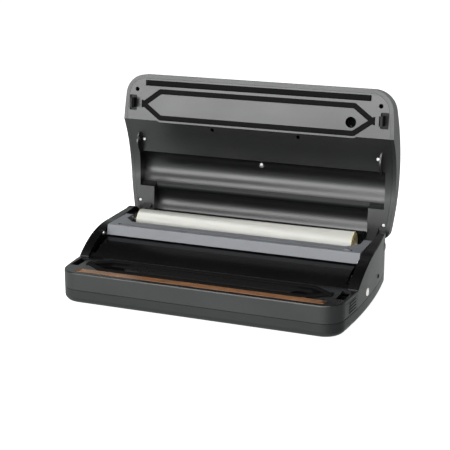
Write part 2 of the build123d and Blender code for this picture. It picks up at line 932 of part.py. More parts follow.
def make_lid_switches():
    """A small switch under each fin slot, which the lid's fin presses."""
    body = block(
        switch_x - switch_width / 2,
        switch_x + switch_width / 2 - 2.4,
        switch_y - 10,
        switch_y + 10,
        switch_z,
        switch_z + switch_height - 5,
    )
    top = switch_z + switch_height
    plunger = block(switch_x - 1, switch_x + 0.6, switch_y - 2, switch_y + 2, switch_z, top)
    return pair(body + plunger)


def make_hinge_pins():
    """Steel pins that carry the lid's knuckles."""
    start = notch_inner_x - boss_reach + pin_end_play
    end = channel_half + boss_reach - pin_end_play
    pin = rod_x(start, end, hinge_y, hinge_z, pin_radius)
    return pair(chamfer(pin.edges().filter_by(GeomType.CIRCLE), 0.4))


def make_cutter_pivots():
    """Steel pins that carry the cutter frame's arms."""
    end = channel_half + boss_reach - pin_end_play
    pin = rod_x(frame_half - arm_width - 1, end, pivot_y, pivot_z, pivot_radius)
    return pair(chamfer(pin.edges().filter_by(GeomType.CIRCLE), 0.3))


def make_release_button():
    """Right-hand release button: a ribbed cap in the side wall, with its catch behind it."""
    cap = (base_body(0, 0, deck_z) - base_body(button_wall, 0, deck_z)) & button_window(0)
    for row in range(grip_rows):
        low = parting_z + 3.0 + row * grip_pitch
        grip = block(0, half_mid + 5, grip_y, grip_y + grip_length, low, low + grip_height)
        skin = base_body(-grip_rise, 0, deck_z) - base_body(button_wall / 2, 0, deck_z)
        cap = cap + (grip & skin)
    edge = 4.0
    plate = block(
        catch_x - catch_depth,
        half_mid,
        latch_y - edge,
        latch_y + latch_length + edge,
        catch_z,
        catch_z + catch_thickness,
    )
    window = block(catch_x, latch_x + latch_width, latch_y, latch_y + latch_length, 0, deck_z)
    plate = (plate & base_body(button_wall / 2, 0, deck_z)) - window
    return cap + plate


def make_release_spring():
    """Right-hand return spring between the catch and the housing's stop."""
    middle = spring_radius - spring_wire / 2
    rise = spring_length - spring_wire
    path = Helix(pitch=rise / spring_turns, height=rise, radius=middle)
    start = Plane(origin=path @ 0, z_dir=path % 0)
    coil = sweep(start * Circle(spring_wire / 2), path=path, is_frenet=True)
    return Pos(spring_stop_x + spring_wire / 2, spring_y, spring_z) * Rot(0, 90, 0) * coil


def make_cutter_frame():
    """U-shaped frame: a grooved rail in front, two arms and corner gussets."""
    front_top = rail_front_y + rail_lean
    back = front_top + rail_depth - rail_lean
    rail = across(
        [
            Line((rail_front_y, rail_bottom_z), (front_top, rail_top_z)),
            Line((front_top, rail_top_z), (back, rail_top_z)),
            Line((back, rail_top_z), (back, rail_bottom_z + 2)),
            Line((back, rail_bottom_z + 2), (back - 2, rail_bottom_z)),
            Line((back - 2, rail_bottom_z), (rail_front_y, rail_bottom_z)),
        ],
        frame_half,
    )
    rail = fillet(rail.edges().filter_by(Axis.X).group_by(Axis.Z)[-1], rail_round)
    inner = frame_half - arm_width
    low = rail_top_z - arm_height
    arm = block(inner, frame_half, back - 2 * rail_round, pivot_y, low, rail_top_z)
    arm = arm + rod_x(inner, frame_half, pivot_y, pivot_z, arm_height / 2)
    corner = [(inner, back), (inner - gusset, back), (inner, back + gusset)]
    web = raised(make_face(Polyline(*corner, close=True)), low + 2, rail_top_z)
    frame = rail + arm + mirrored(arm) + web + mirrored(web)
    half = frame_half - arm_width - 2
    for width, low in ((track_width, rail_top_z - track_depth), (blade_slot, 0)):
        frame = frame - block(-half, half, track_y - width / 2, track_y + width / 2, low, high_z)
    bore = rod_x(frame_half - arm_width - 5, channel_half, pivot_y, pivot_z, pivot_radius + pin_play)
    return frame - bore - mirrored(bore)


knob_x = frame_half - arm_width - 2 - knob_length / 2 - 1.0


def make_cutter_slider():
    """Finger slide that runs in the rail's groove."""
    width = track_width / 2 - running_gap
    low = rail_top_z - track_depth + running_gap
    half = knob_length / 2
    top = rail_top_z + 0.6
    shoe = block(knob_x - half, knob_x + half, track_y - width, track_y + width, low, top)
    shoe = fillet(shoe.edges().filter_by(Axis.Z), 1.2)
    half = knob_length / 4
    top = rail_top_z + 2.0
    grip = block(knob_x - half, knob_x + half, track_y - width, track_y + width, rail_top_z, top)
    grip = fillet(grip.edges().filter_by(Axis.Y).group_by(Axis.Z)[-1], 1.0)
    slot = block(knob_x - 4.1, knob_x + 4.1, track_y - 0.4, track_y + 0.4, 0, low + 3)
    return shoe + grip - slot


def make_cutter_blade():
    """Small blade under the slide."""
    low = rail_top_z - track_depth + running_gap
    blade = block(knob_x - 4, knob_x + 4, track_y - 0.3, track_y + 0.3, rail_bottom_z + 1.0, low + 3)
    return chamfer(blade.edges().filter_by(Axis.Y).group_by(Axis.Z)[0], 2.5)


def make_film_roll():
    """Wound bag film."""
    half = roll_length / 2
    film = rod_x(-half, half, roll_y, roll_z, roll_radius)
    return film - rod_x(-half - 1, half + 1, roll_y, roll_z, core_radius)


def make_roll_core():
    """Card tube inside the film."""
    half = roll_length / 2 - 0.5
    core = rod_x(-half, half, roll_y, roll_z, core_radius)
    return core - rod_x(-half - 1, half + 1, roll_y, roll_z, core_radius - core_wall)


def lid_over(lift):
    """Side view of all that lies above the lid's rim line, raised by lift."""
    arc, start, end = rim_arc(-lift)
    rear = (lid_rear_y + 5, rim_height(lid_rear_y + 5) + lift)
    return [
        Line((-5, start[1]), start),
        arc,
        Line(end, rear),
        Line(rear, (rear[0], high_z)),
        Line((rear[0], high_z), (-5, high_z)),
        Line((-5, high_z), (-5, start[1])),
    ]


def lid_under(drop):
    """Side view of all that lies under the lid's domed top, lowered by drop."""
    radius = lid_arc - drop
    centre = lid_top_z - lid_arc
    front = lid_front_y - 1
    rear = lid_rear_y + 1

    def top(y):
        return centre + math.sqrt(radius**2 - (y - lid_apex_y) ** 2)

    middle = (front + rear) / 2
    return [
        Line((front, 0), (front, top(front))),
        ThreePointArc((front, top(front)), (middle, top(middle)), (rear, top(rear))),
        Line((rear, top(rear)), (rear, 0)),
        Line((rear, 0), (front, 0)),
    ]


def keypad_plane():
    """Plane on the lid's domed top at the keypad's middle, its normal pointing out."""
    centre = lid_top_z - lid_arc
    lean = math.asin((keypad_y - lid_apex_y) / lid_arc)
    z = centre + lid_arc * math.cos(lean)
    normal = (0, math.sin(lean), math.cos(lean))
    return Plane(origin=(0, keypad_y, z), x_dir=(1, 0, 0), z_dir=normal)


# Name, place along the keypad, width and depth of each key
keys = [
    ("vacuum_seal_button", -38.0, 26.0, key_height),
    ("seal_button", -6.0, 18.0, key_height),
    ("mode_button", 20.0, 14.0, key_height),
    ("pulse_button", 42.0, 14.0, key_height),
]


def on_keypad(face, z0, z1):
    """An outline on the keypad's plane drawn out from z0 to z1 along its normal."""
    return keypad_plane() * raised(face, z0, z1)


def key_face(x, width, depth, grow):
    """A key's rounded outline, grown by grow."""
    return Pos(x, -2.0, 0) * RectangleRounded(width + 2 * grow, depth + 2 * grow, 2.0 + grow)


def light_places():
    """Places of the indicator lights on the keypad, one above each key."""
    return [(x, keypad_depth / 2 - 5.0) for name, x, width, depth in keys]


deep_screws = [(lid_half_front - 13.3, 22.7)]
deep_seat = 13.0
rim_screws = [(lid_half_mid - 24.3, 93.0), (lid_half_mid - 14.7, 181.7)]
rim_seat = 2.2
centre_screw_y = 117.0
centre_seat_z = lid_z + 40.0
driver_holes = [(61.0, 71.5)]


def lid_screw_places():
    """Places and seats of the screws that hold the liner to the shell."""
    places = [(x, y, rim_height(y) + deep_seat) for x, y in deep_screws]
    places = places + [(x, y, rim_height(y) + rim_seat) for x, y in rim_screws]
    places = places + [(-x, y, seat) for x, y, seat in places]
    return places + [(0.0, centre_screw_y, centre_seat_z)]


def make_lid_shell():
    """Domed outer cover of the lid, with screw posts and the keypad's recess."""
    solid = lid_body(0, 0, high_z) & across(lid_under(0), lid_half_mid + 5)
    top_edges = solid.edges().group_by(Axis.Z)[1:]
    rim = [e for group in top_edges for e in group if e.bounding_box().min.Z > lid_z + 5]
    solid = fillet(rim, lid_round)
    solid = solid & across(lid_over(0), lid_half_mid + 5)
    room = lid_body(shell_wall, 0, high_z) & across(lid_under(shell_wall), lid_half_mid + 5)
    edges = room.edges().group_by(Axis.Z)[1:]
    rim = [e for group in edges for e in group if e.bounding_box().min.Z > lid_z + 5]
    room = fillet(rim, lid_round - shell_wall)
    over = across(lid_over(rim_lip), lid_half_mid + 5)
    room = (room & over) + (lid_body(rim_band, 0, high_z) - over)
    shell = solid - room
    for x, y, seat in lid_screw_places():
        post = rod_z(x, y, seat + liner_wall + 0.1, lid_top_z, boss_radius)
        shell = shell + (post & across(lid_under(shell_wall / 2), lid_half_mid))
    recess = RectangleRounded(keypad_width + 0.4, keypad_depth + 0.4, 6)
    shell = shell - on_keypad(recess, keypad_proud - keypad_thickness, 6)
    for name, x, width, depth in keys:
        shell = shell - on_keypad(key_face(x, width, depth, key_gap), -9, 6)
    for x, y in light_places():
        shell = shell - on_keypad(Pos(x, y) * Circle(light_radius), -9, 6)
    for x, y, seat in lid_screw_places():
        shell = shell - rod_z(x, y, seat, seat + 10, screw_radius)
    return shell


def ridge_middle():
    """Middle of the rounded ridge that touches both flutes."""
    near = flute_radius + ridge_round
    far = bay_radius + ridge_round
    dy = bay_y - flute_y
    dz = bay_z - flute_z
    span = math.hypot(dy, dz)
    along = (near**2 - far**2 + span**2) / (2 * span)
    up = math.sqrt(near**2 - along**2)
    return flute_y + (along * dy - up * dz) / span, flute_z + (along * dz + up * dy) / span


def flute_roof(grow):
    """Two flutes in the liner that clear the rail and the roll, grown by grow."""
    low = lid_z - 60
    first = flute_radius + grow
    second = bay_radius + grow
    ridge = ridge_middle()
    start = (flute_y - first, flute_z)
    crest = (flute_y, flute_z + first)
    share = first / (flute_radius + ridge_round)
    fall = (flute_y + share * (ridge[0] - flute_y), flute_z + share * (ridge[1] - flute_z))
    share = second / (bay_radius + ridge_round)
    climb = (bay_y + share * (ridge[0] - bay_y), bay_z + share * (ridge[1] - bay_z))
    end = (bay_y + second, bay_z)
    wave = [
        Line((start[0], low), start),
        ThreePointArc(start, crest, fall),
        ThreePointArc(fall, (ridge[0], ridge[1] - ridge_round + grow), climb),
        ThreePointArc(climb, (bay_y, bay_z + second), end),
        Line(end, (end[0], low)),
        Line((end[0], low), (start[0], low)),
    ]
    stop = (flute_y + first, flute_z)
    slot = [
        Line((start[0], low), start),
        ThreePointArc(start, crest, stop),
        Line(stop, (stop[0], low)),
        Line((stop[0], low), (start[0], low)),
    ]
    half = flute_half + grow
    rear = lid_rear_y - rim_band - 2 + grow
    limit = block(-half, half, start[0], rear, low, high_z)
    return (across(slot, half) + across(wave, bay_half + grow)) & limit


def make_lid_liner():
    """Inner moulding of the lid: sealing face, slope, flutes, hinge knuckles and fins."""
    inset = rim_band + liner_gap
    plate = across(lid_over(0), lid_half_mid + 5) - across(lid_over(liner_wall), lid_half_mid + 5)
    liner = (plate + flute_roof(liner_wall)) & across(lid_over(0), lid_half_mid + 5)
    liner = liner & lid_body(inset, 0, high_z)
    for x, y, seat in lid_screw_places():
        liner = liner - rod_z(x, y, seat, lid_top_z, boss_radius + running_gap)
        post = rod_z(x, y, seat - deep_seat - 3, seat + liner_wall, boss_radius + 1)
        liner = liner + (post & lid_body(inset, 0, high_z) & across(lid_over(0), lid_half_mid))
    cup = rod_z(port_x, port_y, lid_z, lid_z + port_depth + liner_wall, port_radius + liner_wall)
    ring = ring_face(False, -liner_wall) - ring_face(True, liner_wall)
    ring = raised(ring, lid_z, lid_z + groove_depth + 1.6)
    backing = strip_pocket(liner_wall) & lid_body(inset, 0, high_z)
    liner = liner + cup + ring + backing
    liner = liner - flute_roof(0)
    top = centre_seat_z + liner_wall
    liner = liner + rod_z(0, centre_screw_y, centre_seat_z - 0.8, top, boss_radius)
    groove = ring_face(False) - ring_face(True)
    liner = liner - raised(groove, lid_z - 1, lid_z + groove_depth - 0.4)
    liner = liner - strip_pocket(0) - rod_z(port_x, port_y, 0, lid_z + port_depth, port_radius)
    opening = latch_opening(latch_y, latch_length, 0, lid_z + 8)
    liner = liner - opening - mirrored(opening)
    liner = liner + knuckle() + mirrored(knuckle()) + fin() + mirrored(fin())
    for x, y in driver_holes:
        hole = rod_z(x, y, lid_z, lid_z + 30, screw_head_radius)
        liner = liner - hole - mirrored(hole)
    for x, y, seat in lid_screw_places():
        liner = liner - rod_z(x, y, seat - 14, seat, screw_head_radius + 0.4)
        liner = liner - rod_z(x, y, seat - 1, seat + 9, screw_radius + 0.3)
    bore_end = knuckle_inner_x + knuckle_width + 2
    bore = rod_x(knuckle_inner_x - 2, bore_end, hinge_y, hinge_z, pin_radius + pin_play)
    return liner - bore - mirrored(bore)


def strip_pocket(grow):
    """The pocket in the liner that holds the pressure strip, grown by grow."""
    half = pad_half + 0.1 + grow
    depth = pad_width / 2 + 0.1 + grow
    low = lid_z if grow else lid_z - 1
    return block(-half, half, strip_y - depth, strip_y + depth, low, pad_top_z + grow)


def knuckle():
    """Right-hand arm from the liner's rear block to the hinge pin."""
    x0 = knuckle_inner_x
    x1 = knuckle_inner_x + knuckle_width
    top = rim_height(hinge_y) + 1.5
    front = lid_rear_y - rim_band - 14
    rear = lid_rear_y - rim_band - 0.6
    turn = knuckle_radius
    neck = (rear, rim_height(rear) - 1.5)
    arm = side_prism(
        [
            Line((front, top), (rear, top)),
            Line((rear, top), neck),
            Line(neck, (hinge_y + turn * 0.94, hinge_z + turn * 0.34)),
            Line((hinge_y + turn * 0.94, hinge_z + turn * 0.34), (hinge_y, hinge_z)),
            Line((hinge_y, hinge_z), (hinge_y - turn * 0.9, hinge_z - turn * 0.43)),
            Line((hinge_y - turn * 0.9, hinge_z - turn * 0.43), (front, top)),
        ],
        x0,
        x1,
    )
    return arm + rod_x(x0, x1, hinge_y, hinge_z, turn)


def fin():
    """Right-hand fin under the liner's slope, part of a disc, which closes the lid switch."""
    disc = rod_x(fin_x, fin_x + fin_thickness, fin_y, fin_z, fin_radius)
    return disc - across(lid_over(liner_wall / 2), lid_half_mid)


def make_pressure_strip():
    """Soft strip in the lid that presses the bag on the sealing tape."""
    depth = pad_width / 2
    low = pad_top_z - pad_height
    half = pad_half - pad_end_gap
    strip = block(-half, half, strip_y - depth, strip_y + depth, low, pad_top_z)
    return fillet(strip.edges().filter_by(Axis.X).group_by(Axis.Z)[0], 1.5)


def make_lid_hooks():
    """A hook on a plate over each of the liner's openings."""
    low = lid_z - hook_reach
    seat = lid_z + liner_wall
    y = latch_y + latch_length / 2
    half = latch_length / 2 + 2.5
    plate = block(latch_x - 2.5, latch_x + latch_width + 0.6, y - half, y + half, seat, seat + 2)
    plate = plate & lid_body(rim_band + liner_gap + 0.3, 0, high_z)
    half = hook_length / 2
    tongue = block(hook_x, hook_x + hook_thickness, y - half, y + half, low, seat + 1)
    nose = Plane.XZ * make_face(
        Polyline(
            (hook_x, low),
            (hook_x - nose_length, low + nose_height),
            (hook_x + 0.5, low + nose_height),
            (hook_x + 0.5, low),
            close=True,
        )
    )
    nose = Pos(0, y + half, 0) * extrude(nose, amount=hook_length)
    return pair(plate + tongue + nose)


def make_lid_screws():
    """Screws that hold the liner to the shell."""
    return [screw_up(x, y, seat, 9) for x, y, seat in lid_screw_places()]


def make_keypad_panel():
    """Flat panel on top of the lid with an opening for each key and light."""
    face = RectangleRounded(keypad_width, keypad_depth, 5.8)
    for name, x, width, depth in keys:
        face = face - key_face(x, width, depth, key_gap)
    for x, y in light_places():
        face = face - Pos(x, y) * Circle(light_radius)
    return on_keypad(face, keypad_proud - keypad_thickness, keypad_proud)


def make_key(x, width, depth):
    """A key cap with a retaining flange inside the shell."""
    low = -shell_wall - 1.6
    cap = on_keypad(key_face(x, width, depth, 0), low, keypad_proud + key_proud)
    flange = on_keypad(key_face(x, width, depth, key_flange), low - key_flange, low)
    stem = on_keypad(Pos(x, -2.0, 0) * Circle(2.0), low - key_flange - 1.5, low)
    return cap + flange + stem


def board_top():
    """Height of the key board's upper face along the keypad's normal."""
    return -shell_wall - 1.6 - key_flange - 1.5 - key_travel - 0.2


def make_keypad_board():
    """Board under the keys, hung from the shell on four posts."""
    top = board_top()
    board = on_keypad(RectangleRounded(keypad_width - 4, keypad_depth, 3), top - 1.6, top)
    for i in (-1, 1):
        for j in (-1, 1):
            place = Pos(i * (keypad_width / 2 - 5), j * (keypad_depth / 2 - 4), 0)
            board = board + on_keypad(place * Circle(2.5), top - 1, -shell_wall - 0.4)
    return board


def make_status_lights():
    """Indicator lenses in the keypad panel."""
    lights = []
    for x, y in light_places():
        lens = on_keypad(Pos(x, y) * Circle(light_radius - 0.05), -shell_wall - 2, keypad_proud + 0.3)
        lights.append(lens)
    return lights


def one(shape):
    """The pieces of one node as a list of solids."""
    pieces = shape if isinstance(shape, list) else [shape]
    return [solid for piece in pieces for solid in piece.solids()]


button = make_release_button()
spring = make_release_spring()
base_nodes = {
    **split_housing(make_base_housing()),
    "bottom_tray": make_bottom_tray(),
    "rubber_feet": make_rubber_feet(),
    "tray_screws": make_tray_screws(),
    "cheek_screws": make_cheek_screws(),
    "seal_bar": make_seal_bar(),
    "heating_element": make_heating_element(),
    "seal_tape": make_seal_tape(),
    "tape_clips": make_tape_clips(),
    "lower_gasket": make_lower_gasket(),
    "suction_fitting": make_suction_fitting(),
    "vacuum_hose": make_vacuum_hose(),
    "vacuum_pump": make_vacuum_pump(),
    "pump_motor": make_pump_motor(),
    "transformer_core": make_transformer_core(),
    "transformer_coil": make_transformer_coil(),
    "control_board": make_control_board(),
    "board_components": make_board_components(),
    "mains_inlet": make_mains_inlet(),
    "inlet_pins": make_inlet_pins(),
    "accessory_port": make_accessory_port(),
    "vent_grommet": make_vent_grommet(),
    "lid_switches": make_lid_switches(),
    "hinge_pins": make_hinge_pins(),
    "cutter_pivots": make_cutter_pivots(),
    "release_button_right": button,
    "release_button_left": mirrored(button),
    "release_spring_right": spring,
    "release_spring_left": mirrored(spring),
    "cutter_frame": make_cutter_frame(),
    "cutter_slider": make_cutter_slider(),
    "cutter_blade": make_cutter_blade(),
    "film_roll": make_film_roll(),
    "roll_core": make_roll_core(),
}
lid_nodes = {
    "lid_shell": make_lid_shell(),
    "lid_liner": make_lid_liner(),
    "upper_gasket": make_upper_gasket(),
    "pressure_strip": make_pressure_strip(),
    "lid_hooks": make_lid_hooks(),
    "lid_screws": make_lid_screws(),
    "keypad_panel": make_keypad_panel(),
    "keypad_board": make_keypad_board(),
    "status_lights": make_status_lights(),
}
for key_name, key_x, key_width, key_depth in keys:
    lid_nodes[key_name] = make_key(key_x, key_width, key_depth)

opened = Pos(0, hinge_y, hinge_z) * Rot(-open_angle, 0, 0) * Pos(0, -hinge_y, -hinge_z)
lid_back = (opened * lid_nodes["lid_shell"]).bounding_box().max.Y
centred = Pos(0, -lid_back / 2, 0)

os.makedirs("parts", exist_ok=True)
for node, shape in base_nodes.items():
    solids = [centred * solid for solid in one(shape)]
    export_step(Compound(children=solids), f"parts/{node}.step")
for node, shape in lid_nodes.items():
    solids = [centred * opened * solid for solid in one(shape)]
    export_step(Compound(children=solids), f"parts/{node}.step")
print("moved forward by", round(lid_back / 2, 3))
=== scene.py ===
import json
import math

import bmesh
import bpy
from mathutils import Matrix, Vector


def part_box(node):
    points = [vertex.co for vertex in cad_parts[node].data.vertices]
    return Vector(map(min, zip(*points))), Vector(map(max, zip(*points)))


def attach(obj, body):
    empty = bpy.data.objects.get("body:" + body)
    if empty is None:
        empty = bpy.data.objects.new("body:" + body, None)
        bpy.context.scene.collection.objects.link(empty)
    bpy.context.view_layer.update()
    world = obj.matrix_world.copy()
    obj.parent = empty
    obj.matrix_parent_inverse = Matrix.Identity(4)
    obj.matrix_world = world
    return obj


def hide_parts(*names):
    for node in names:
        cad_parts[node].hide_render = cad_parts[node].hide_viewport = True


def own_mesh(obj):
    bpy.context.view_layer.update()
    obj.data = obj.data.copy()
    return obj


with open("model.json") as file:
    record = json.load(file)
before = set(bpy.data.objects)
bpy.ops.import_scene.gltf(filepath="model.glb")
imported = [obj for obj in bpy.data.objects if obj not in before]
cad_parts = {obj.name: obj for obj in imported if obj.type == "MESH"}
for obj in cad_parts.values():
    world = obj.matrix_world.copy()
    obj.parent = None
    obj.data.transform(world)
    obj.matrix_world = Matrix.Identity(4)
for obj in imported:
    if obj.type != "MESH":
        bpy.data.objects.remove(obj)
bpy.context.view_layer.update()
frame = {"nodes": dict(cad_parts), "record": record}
nodes = frame["nodes"]
scene = bpy.context.scene


def addObject(name, data):
    thing = bpy.data.objects.new(name, data)
    scene.collection.objects.link(thing)
    return thing


def aimed(look):
    return Vector(look).to_track_quat("-Z", "Y").to_euler()


# camera: solved from the straight edges of the base and the lid
cameraSet = {
    "place": (0.551511, -1.406341, 0.534113),
    "look": (-0.35460, 0.89139, -0.28228),
    "lens": 97.2175,
    "sensor": 36.0,
}
cameraData = bpy.data.cameras.new("photoCamera")
cameraData.lens = cameraSet["lens"]
cameraData.sensor_width = cameraSet["sensor"]
camera = addObject("photoCamera", cameraData)
camera.location = cameraSet["place"]
camera.rotation_euler = aimed(cameraSet["look"])
scene.camera = camera
print("camera set")


# helpers for node trees
noiseRange = (0.3, 0.7)  # where most values of a noise texture lie


def startMaterial(name):
    mat = bpy.data.materials.new(name)
    mat.use_nodes = True
    tree = mat.node_tree
    tree.nodes.clear()
    out = tree.nodes.new("ShaderNodeOutputMaterial")
    shader = tree.nodes.new("ShaderNodeBsdfPrincipled")
    tree.links.new(shader.outputs["BSDF"], out.inputs["Surface"])
    coord = tree.nodes.new("ShaderNodeTexCoord")
    return mat, tree, shader, coord.outputs["Object"]


def addNoise(tree, vector, scale, detail=3.0, rough=0.55):
    node = tree.nodes.new("ShaderNodeTexNoise")
    node.inputs["Scale"].default_value = scale
    node.inputs["Detail"].default_value = detail
    node.inputs["Roughness"].default_value = rough
    tree.links.new(vector, node.inputs["Vector"])
    return node.outputs["Fac"]


def addCells(tree, vector, scale):
    node = tree.nodes.new("ShaderNodeTexVoronoi")
    node.inputs["Scale"].default_value = scale
    tree.links.new(vector, node.inputs["Vector"])
    return node.outputs["Distance"]


def stretched(tree, vector, scale):
    node = tree.nodes.new("ShaderNodeMapping")
    node.inputs["Scale"].default_value = scale
    tree.links.new(vector, node.inputs["Vector"])
    return node.outputs["Vector"]


def splitAxes(tree, vector):
    node = tree.nodes.new("ShaderNodeSeparateXYZ")
    tree.links.new(vector, node.inputs["Vector"])
    return node.outputs


def ramp(tree, fac, stops):
    node = tree.nodes.new("ShaderNodeValToRGB")
    node.color_ramp.elements[0].position = stops[0][0]
    node.color_ramp.elements[0].color = (*stops[0][1], 1.0)
    node.color_ramp.elements[1].position = stops[-1][0]
    node.color_ramp.elements[1].color = (*stops[-1][1], 1.0)
    for place, colour in stops[1:-1]:
        node.color_ramp.elements.new(place).color = (*colour, 1.0)
    tree.links.new(fac, node.inputs["Fac"])
    return node.outputs["Color"]


def shade(colour, share):
    return tuple(min(1.0, c * share) for c in colour)


def mottle(tree, fac, tone, shares):
    return ramp(tree, fac, [(at, shade(tone, share)) for at, share in zip(noiseRange, shares)])


def spread(tree, fac, low, high, fromLow=noiseRange[0], fromHigh=noiseRange[1]):
    node = tree.nodes.new("ShaderNodeMapRange")
    node.inputs["From Min"].default_value = fromLow
    node.inputs["From Max"].default_value = fromHigh
    node.inputs["To Min"].default_value = low
    node.inputs["To Max"].default_value = high
    tree.links.new(fac, node.inputs["Value"])
    return node.outputs["Result"]


def mathNode(tree, kind, a, b=0.0):
    node = tree.nodes.new("ShaderNodeMath")
    node.operation = kind
    for socket, value in zip(node.inputs, (a, b)):
        if isinstance(value, (int, float)):
            socket.default_value = value
        else:
            tree.links.new(value, socket)
    return node.outputs["Value"]


def waves(tree, fac, length):
    return mathNode(tree, "SINE", mathNode(tree, "MULTIPLY", fac, 2.0 * math.pi / length))


# the second colour is a fixed one or another node's
def blend(tree, fac, first, second, target):
    node = tree.nodes.new("ShaderNodeMix")
    node.data_type = "RGBA"
    firstColour, secondColour, mixed = node.inputs[6], node.inputs[7], node.outputs[2]
    tree.links.new(fac, node.inputs["Factor"])
    tree.links.new(first, firstColour)
    if isinstance(second, tuple):
        secondColour.default_value = (*second, 1.0)
    else:
        tree.links.new(second, secondColour)
    tree.links.new(mixed, target)


def paint(tree, shader, colour):
    tree.links.new(colour, shader.inputs["Base Color"])


def dull(tree, shader, fac, low, high):
    tree.links.new(spread(tree, fac, low, high), shader.inputs["Roughness"])


def addBump(tree, shader, height, depth, strength):
    node = tree.nodes.new("ShaderNodeBump")
    node.inputs["Distance"].default_value = depth
    node.inputs["Strength"].default_value = strength
    tree.links.new(height, node.inputs["Height"])
    tree.links.new(node.outputs["Normal"], shader.inputs["Normal"])


# moulded plastic: fine spark grain, faint flow marks in tone and gloss
plasticSet = {
    "flowRun": (0.6, 1.0, 1.4),
    "flowScale": 22.0,
    "flowDetail": 4.0,
    "flowTones": (0.9, 1.1),
    "grainDetail": 2.0,
    "pitScale": 0.7,
    "pitDepth": 0.6,
    "flowGloss": 0.6,
    "grainGloss": 0.4,
    "roughSwing": (-0.04, 0.05),
    "bump": 0.6,
}


def mouldedPlastic(name, look):
    mat, tree, shader, place = startMaterial(name)
    flowPlace = stretched(tree, place, plasticSet["flowRun"])
    flow = addNoise(tree, flowPlace, plasticSet["flowScale"], plasticSet["flowDetail"])
    paint(tree, shader, mottle(tree, flow, look["tone"], plasticSet["flowTones"]))
    grain = addNoise(tree, place, 1.0 / look["grain"], plasticSet["grainDetail"])
    pits = addCells(tree, place, plasticSet["pitScale"] / look["grain"])
    flowPart = mathNode(tree, "MULTIPLY", flow, plasticSet["flowGloss"])
    grainPart = mathNode(tree, "MULTIPLY", grain, plasticSet["grainGloss"])
    gloss = mathNode(tree, "ADD", flowPart, grainPart)
    dull(tree, shader, gloss, *(look["rough"] + swing for swing in plasticSet["roughSwing"]))
    shader.inputs["Specular IOR Level"].default_value = look["specular"]
    height = mathNode(tree, "ADD", grain, mathNode(tree, "MULTIPLY", pits, plasticSet["pitDepth"]))
    addBump(tree, shader, height, look["depth"], plasticSet["bump"])
    return mat


# plated steel: brushed streaks under a dull zinc bloom, with near-black painted shade above a height where
# one is given, for screw heads sunk in the lid's shadowed holes
steelSet = {
    "streakScale": 900.0,
    "streakDetail": 3.0,
    "bloomScale": 260.0,
    "bloomDetail": 4.0,
    "bloomTones": (0.82, 1.08),
    "shadeTone": 0.02,
    "shadeFade": 0.002,
    "roughSwing": (-0.07, 0.09),
    "depth": 0.00004,
    "bump": 0.5,
}


def platedSteel(name, look):
    mat, tree, shader, place = startMaterial(name)
    streakPlace = stretched(tree, place, look["run"])
    streak = addNoise(tree, streakPlace, steelSet["streakScale"], steelSet["streakDetail"])
    bloom = addNoise(tree, place, steelSet["bloomScale"], steelSet["bloomDetail"])
    coat = mottle(tree, bloom, look["tone"], steelSet["bloomTones"])
    # painted shade: near-black colour above the given height, where the heads sit in shadowed recesses
    if "shadeAbove" in look:
        start = look["shadeAbove"]
        high = spread(tree, splitAxes(tree, place)["Z"], 0.0, 1.0, start, start + steelSet["shadeFade"])
        blend(tree, high, coat, shade(look["tone"], steelSet["shadeTone"]), shader.inputs["Base Color"])
    else:
        paint(tree, shader, coat)
    shader.inputs["Metallic"].default_value = 1.0
    dull(tree, shader, streak, *(look["rough"] + swing for swing in steelSet["roughSwing"]))
    addBump(tree, shader, streak, steelSet["depth"], steelSet["bump"])
    return mat


# rubber and foam: matt, with open pores
rubberSet = {
    "cloudScale": 120.0,
    "cloudDetail": 4.0,
    "cloudTones": (0.8, 1.2),
    "roughSwing": (-0.06, 0.06),
    "bump": 0.8,
}


def softRubber(name, look):
    mat, tree, shader, place = startMaterial(name)
    pore = addCells(tree, place, 1.0 / look["pore"])
    cloud = addNoise(tree, place, rubberSet["cloudScale"], rubberSet["cloudDetail"])
    paint(tree, shader, mottle(tree, cloud, look["tone"], rubberSet["cloudTones"]))
    dull(tree, shader, cloud, *(look["rough"] + swing for swing in rubberSet["roughSwing"]))
    shader.inputs["Specular IOR Level"].default_value = look["specular"]
    addBump(tree, shader, pore, look["depth"], rubberSet["bump"])
    return mat


# coated glass cloth: warp and weft under a blotchy brown coat
clothSet = {
    "thread": 0.0007,
    "tones": [(0.3, (0.12, 0.05, 0.017)), (0.55, (0.19, 0.08, 0.027)), (0.75, (0.27, 0.122, 0.045))],
    "blotchRun": (0.25, 1.0, 1.0),
    "blotchScale": 140.0,
    "blotchDetail": 5.0,
    "rough": (0.16, 0.28),
    "depth": 0.00002,
    "bump": 0.4,
}


def coatedCloth(name, look):
    mat, tree, shader, place = startMaterial(name)
    axes = splitAxes(tree, place)
    warp = waves(tree, axes["X"], look["thread"])
    weft = waves(tree, axes["Y"], look["thread"])
    weave = mathNode(tree, "MULTIPLY", warp, weft)
    blotchPlace = stretched(tree, place, look["blotchRun"])
    blotch = addNoise(tree, blotchPlace, look["blotchScale"], look["blotchDetail"])
    paint(tree, shader, ramp(tree, blotch, look["tones"]))
    dull(tree, shader, blotch, *look["rough"])
    addBump(tree, shader, weave, look["depth"], look["bump"])
    return mat


# wound bag film: milky, with the fine quilted emboss that lets the air out, yellower on its cut ends
filmSet = {
    "tones": [(0.3, (0.39, 0.39, 0.362)), (0.7, (0.455, 0.455, 0.422))],
    "endTone": (0.58, 0.5, 0.28),
    "endFrom": 0.1512,
    "endFade": 0.0006,
    "waveRun": (0.15, 1.0, 1.0),
    "waveScale": 60.0,
    "waveDetail": 4.0,
    "waveHeight": 1.5,
    "emboss": 0.0016,
    "rough": (0.3, 0.46),
    "milk": 0.2,
    "milkReach": (0.004, 0.004, 0.004),
    "depth": 0.00012,
    "bump": 0.5,
}


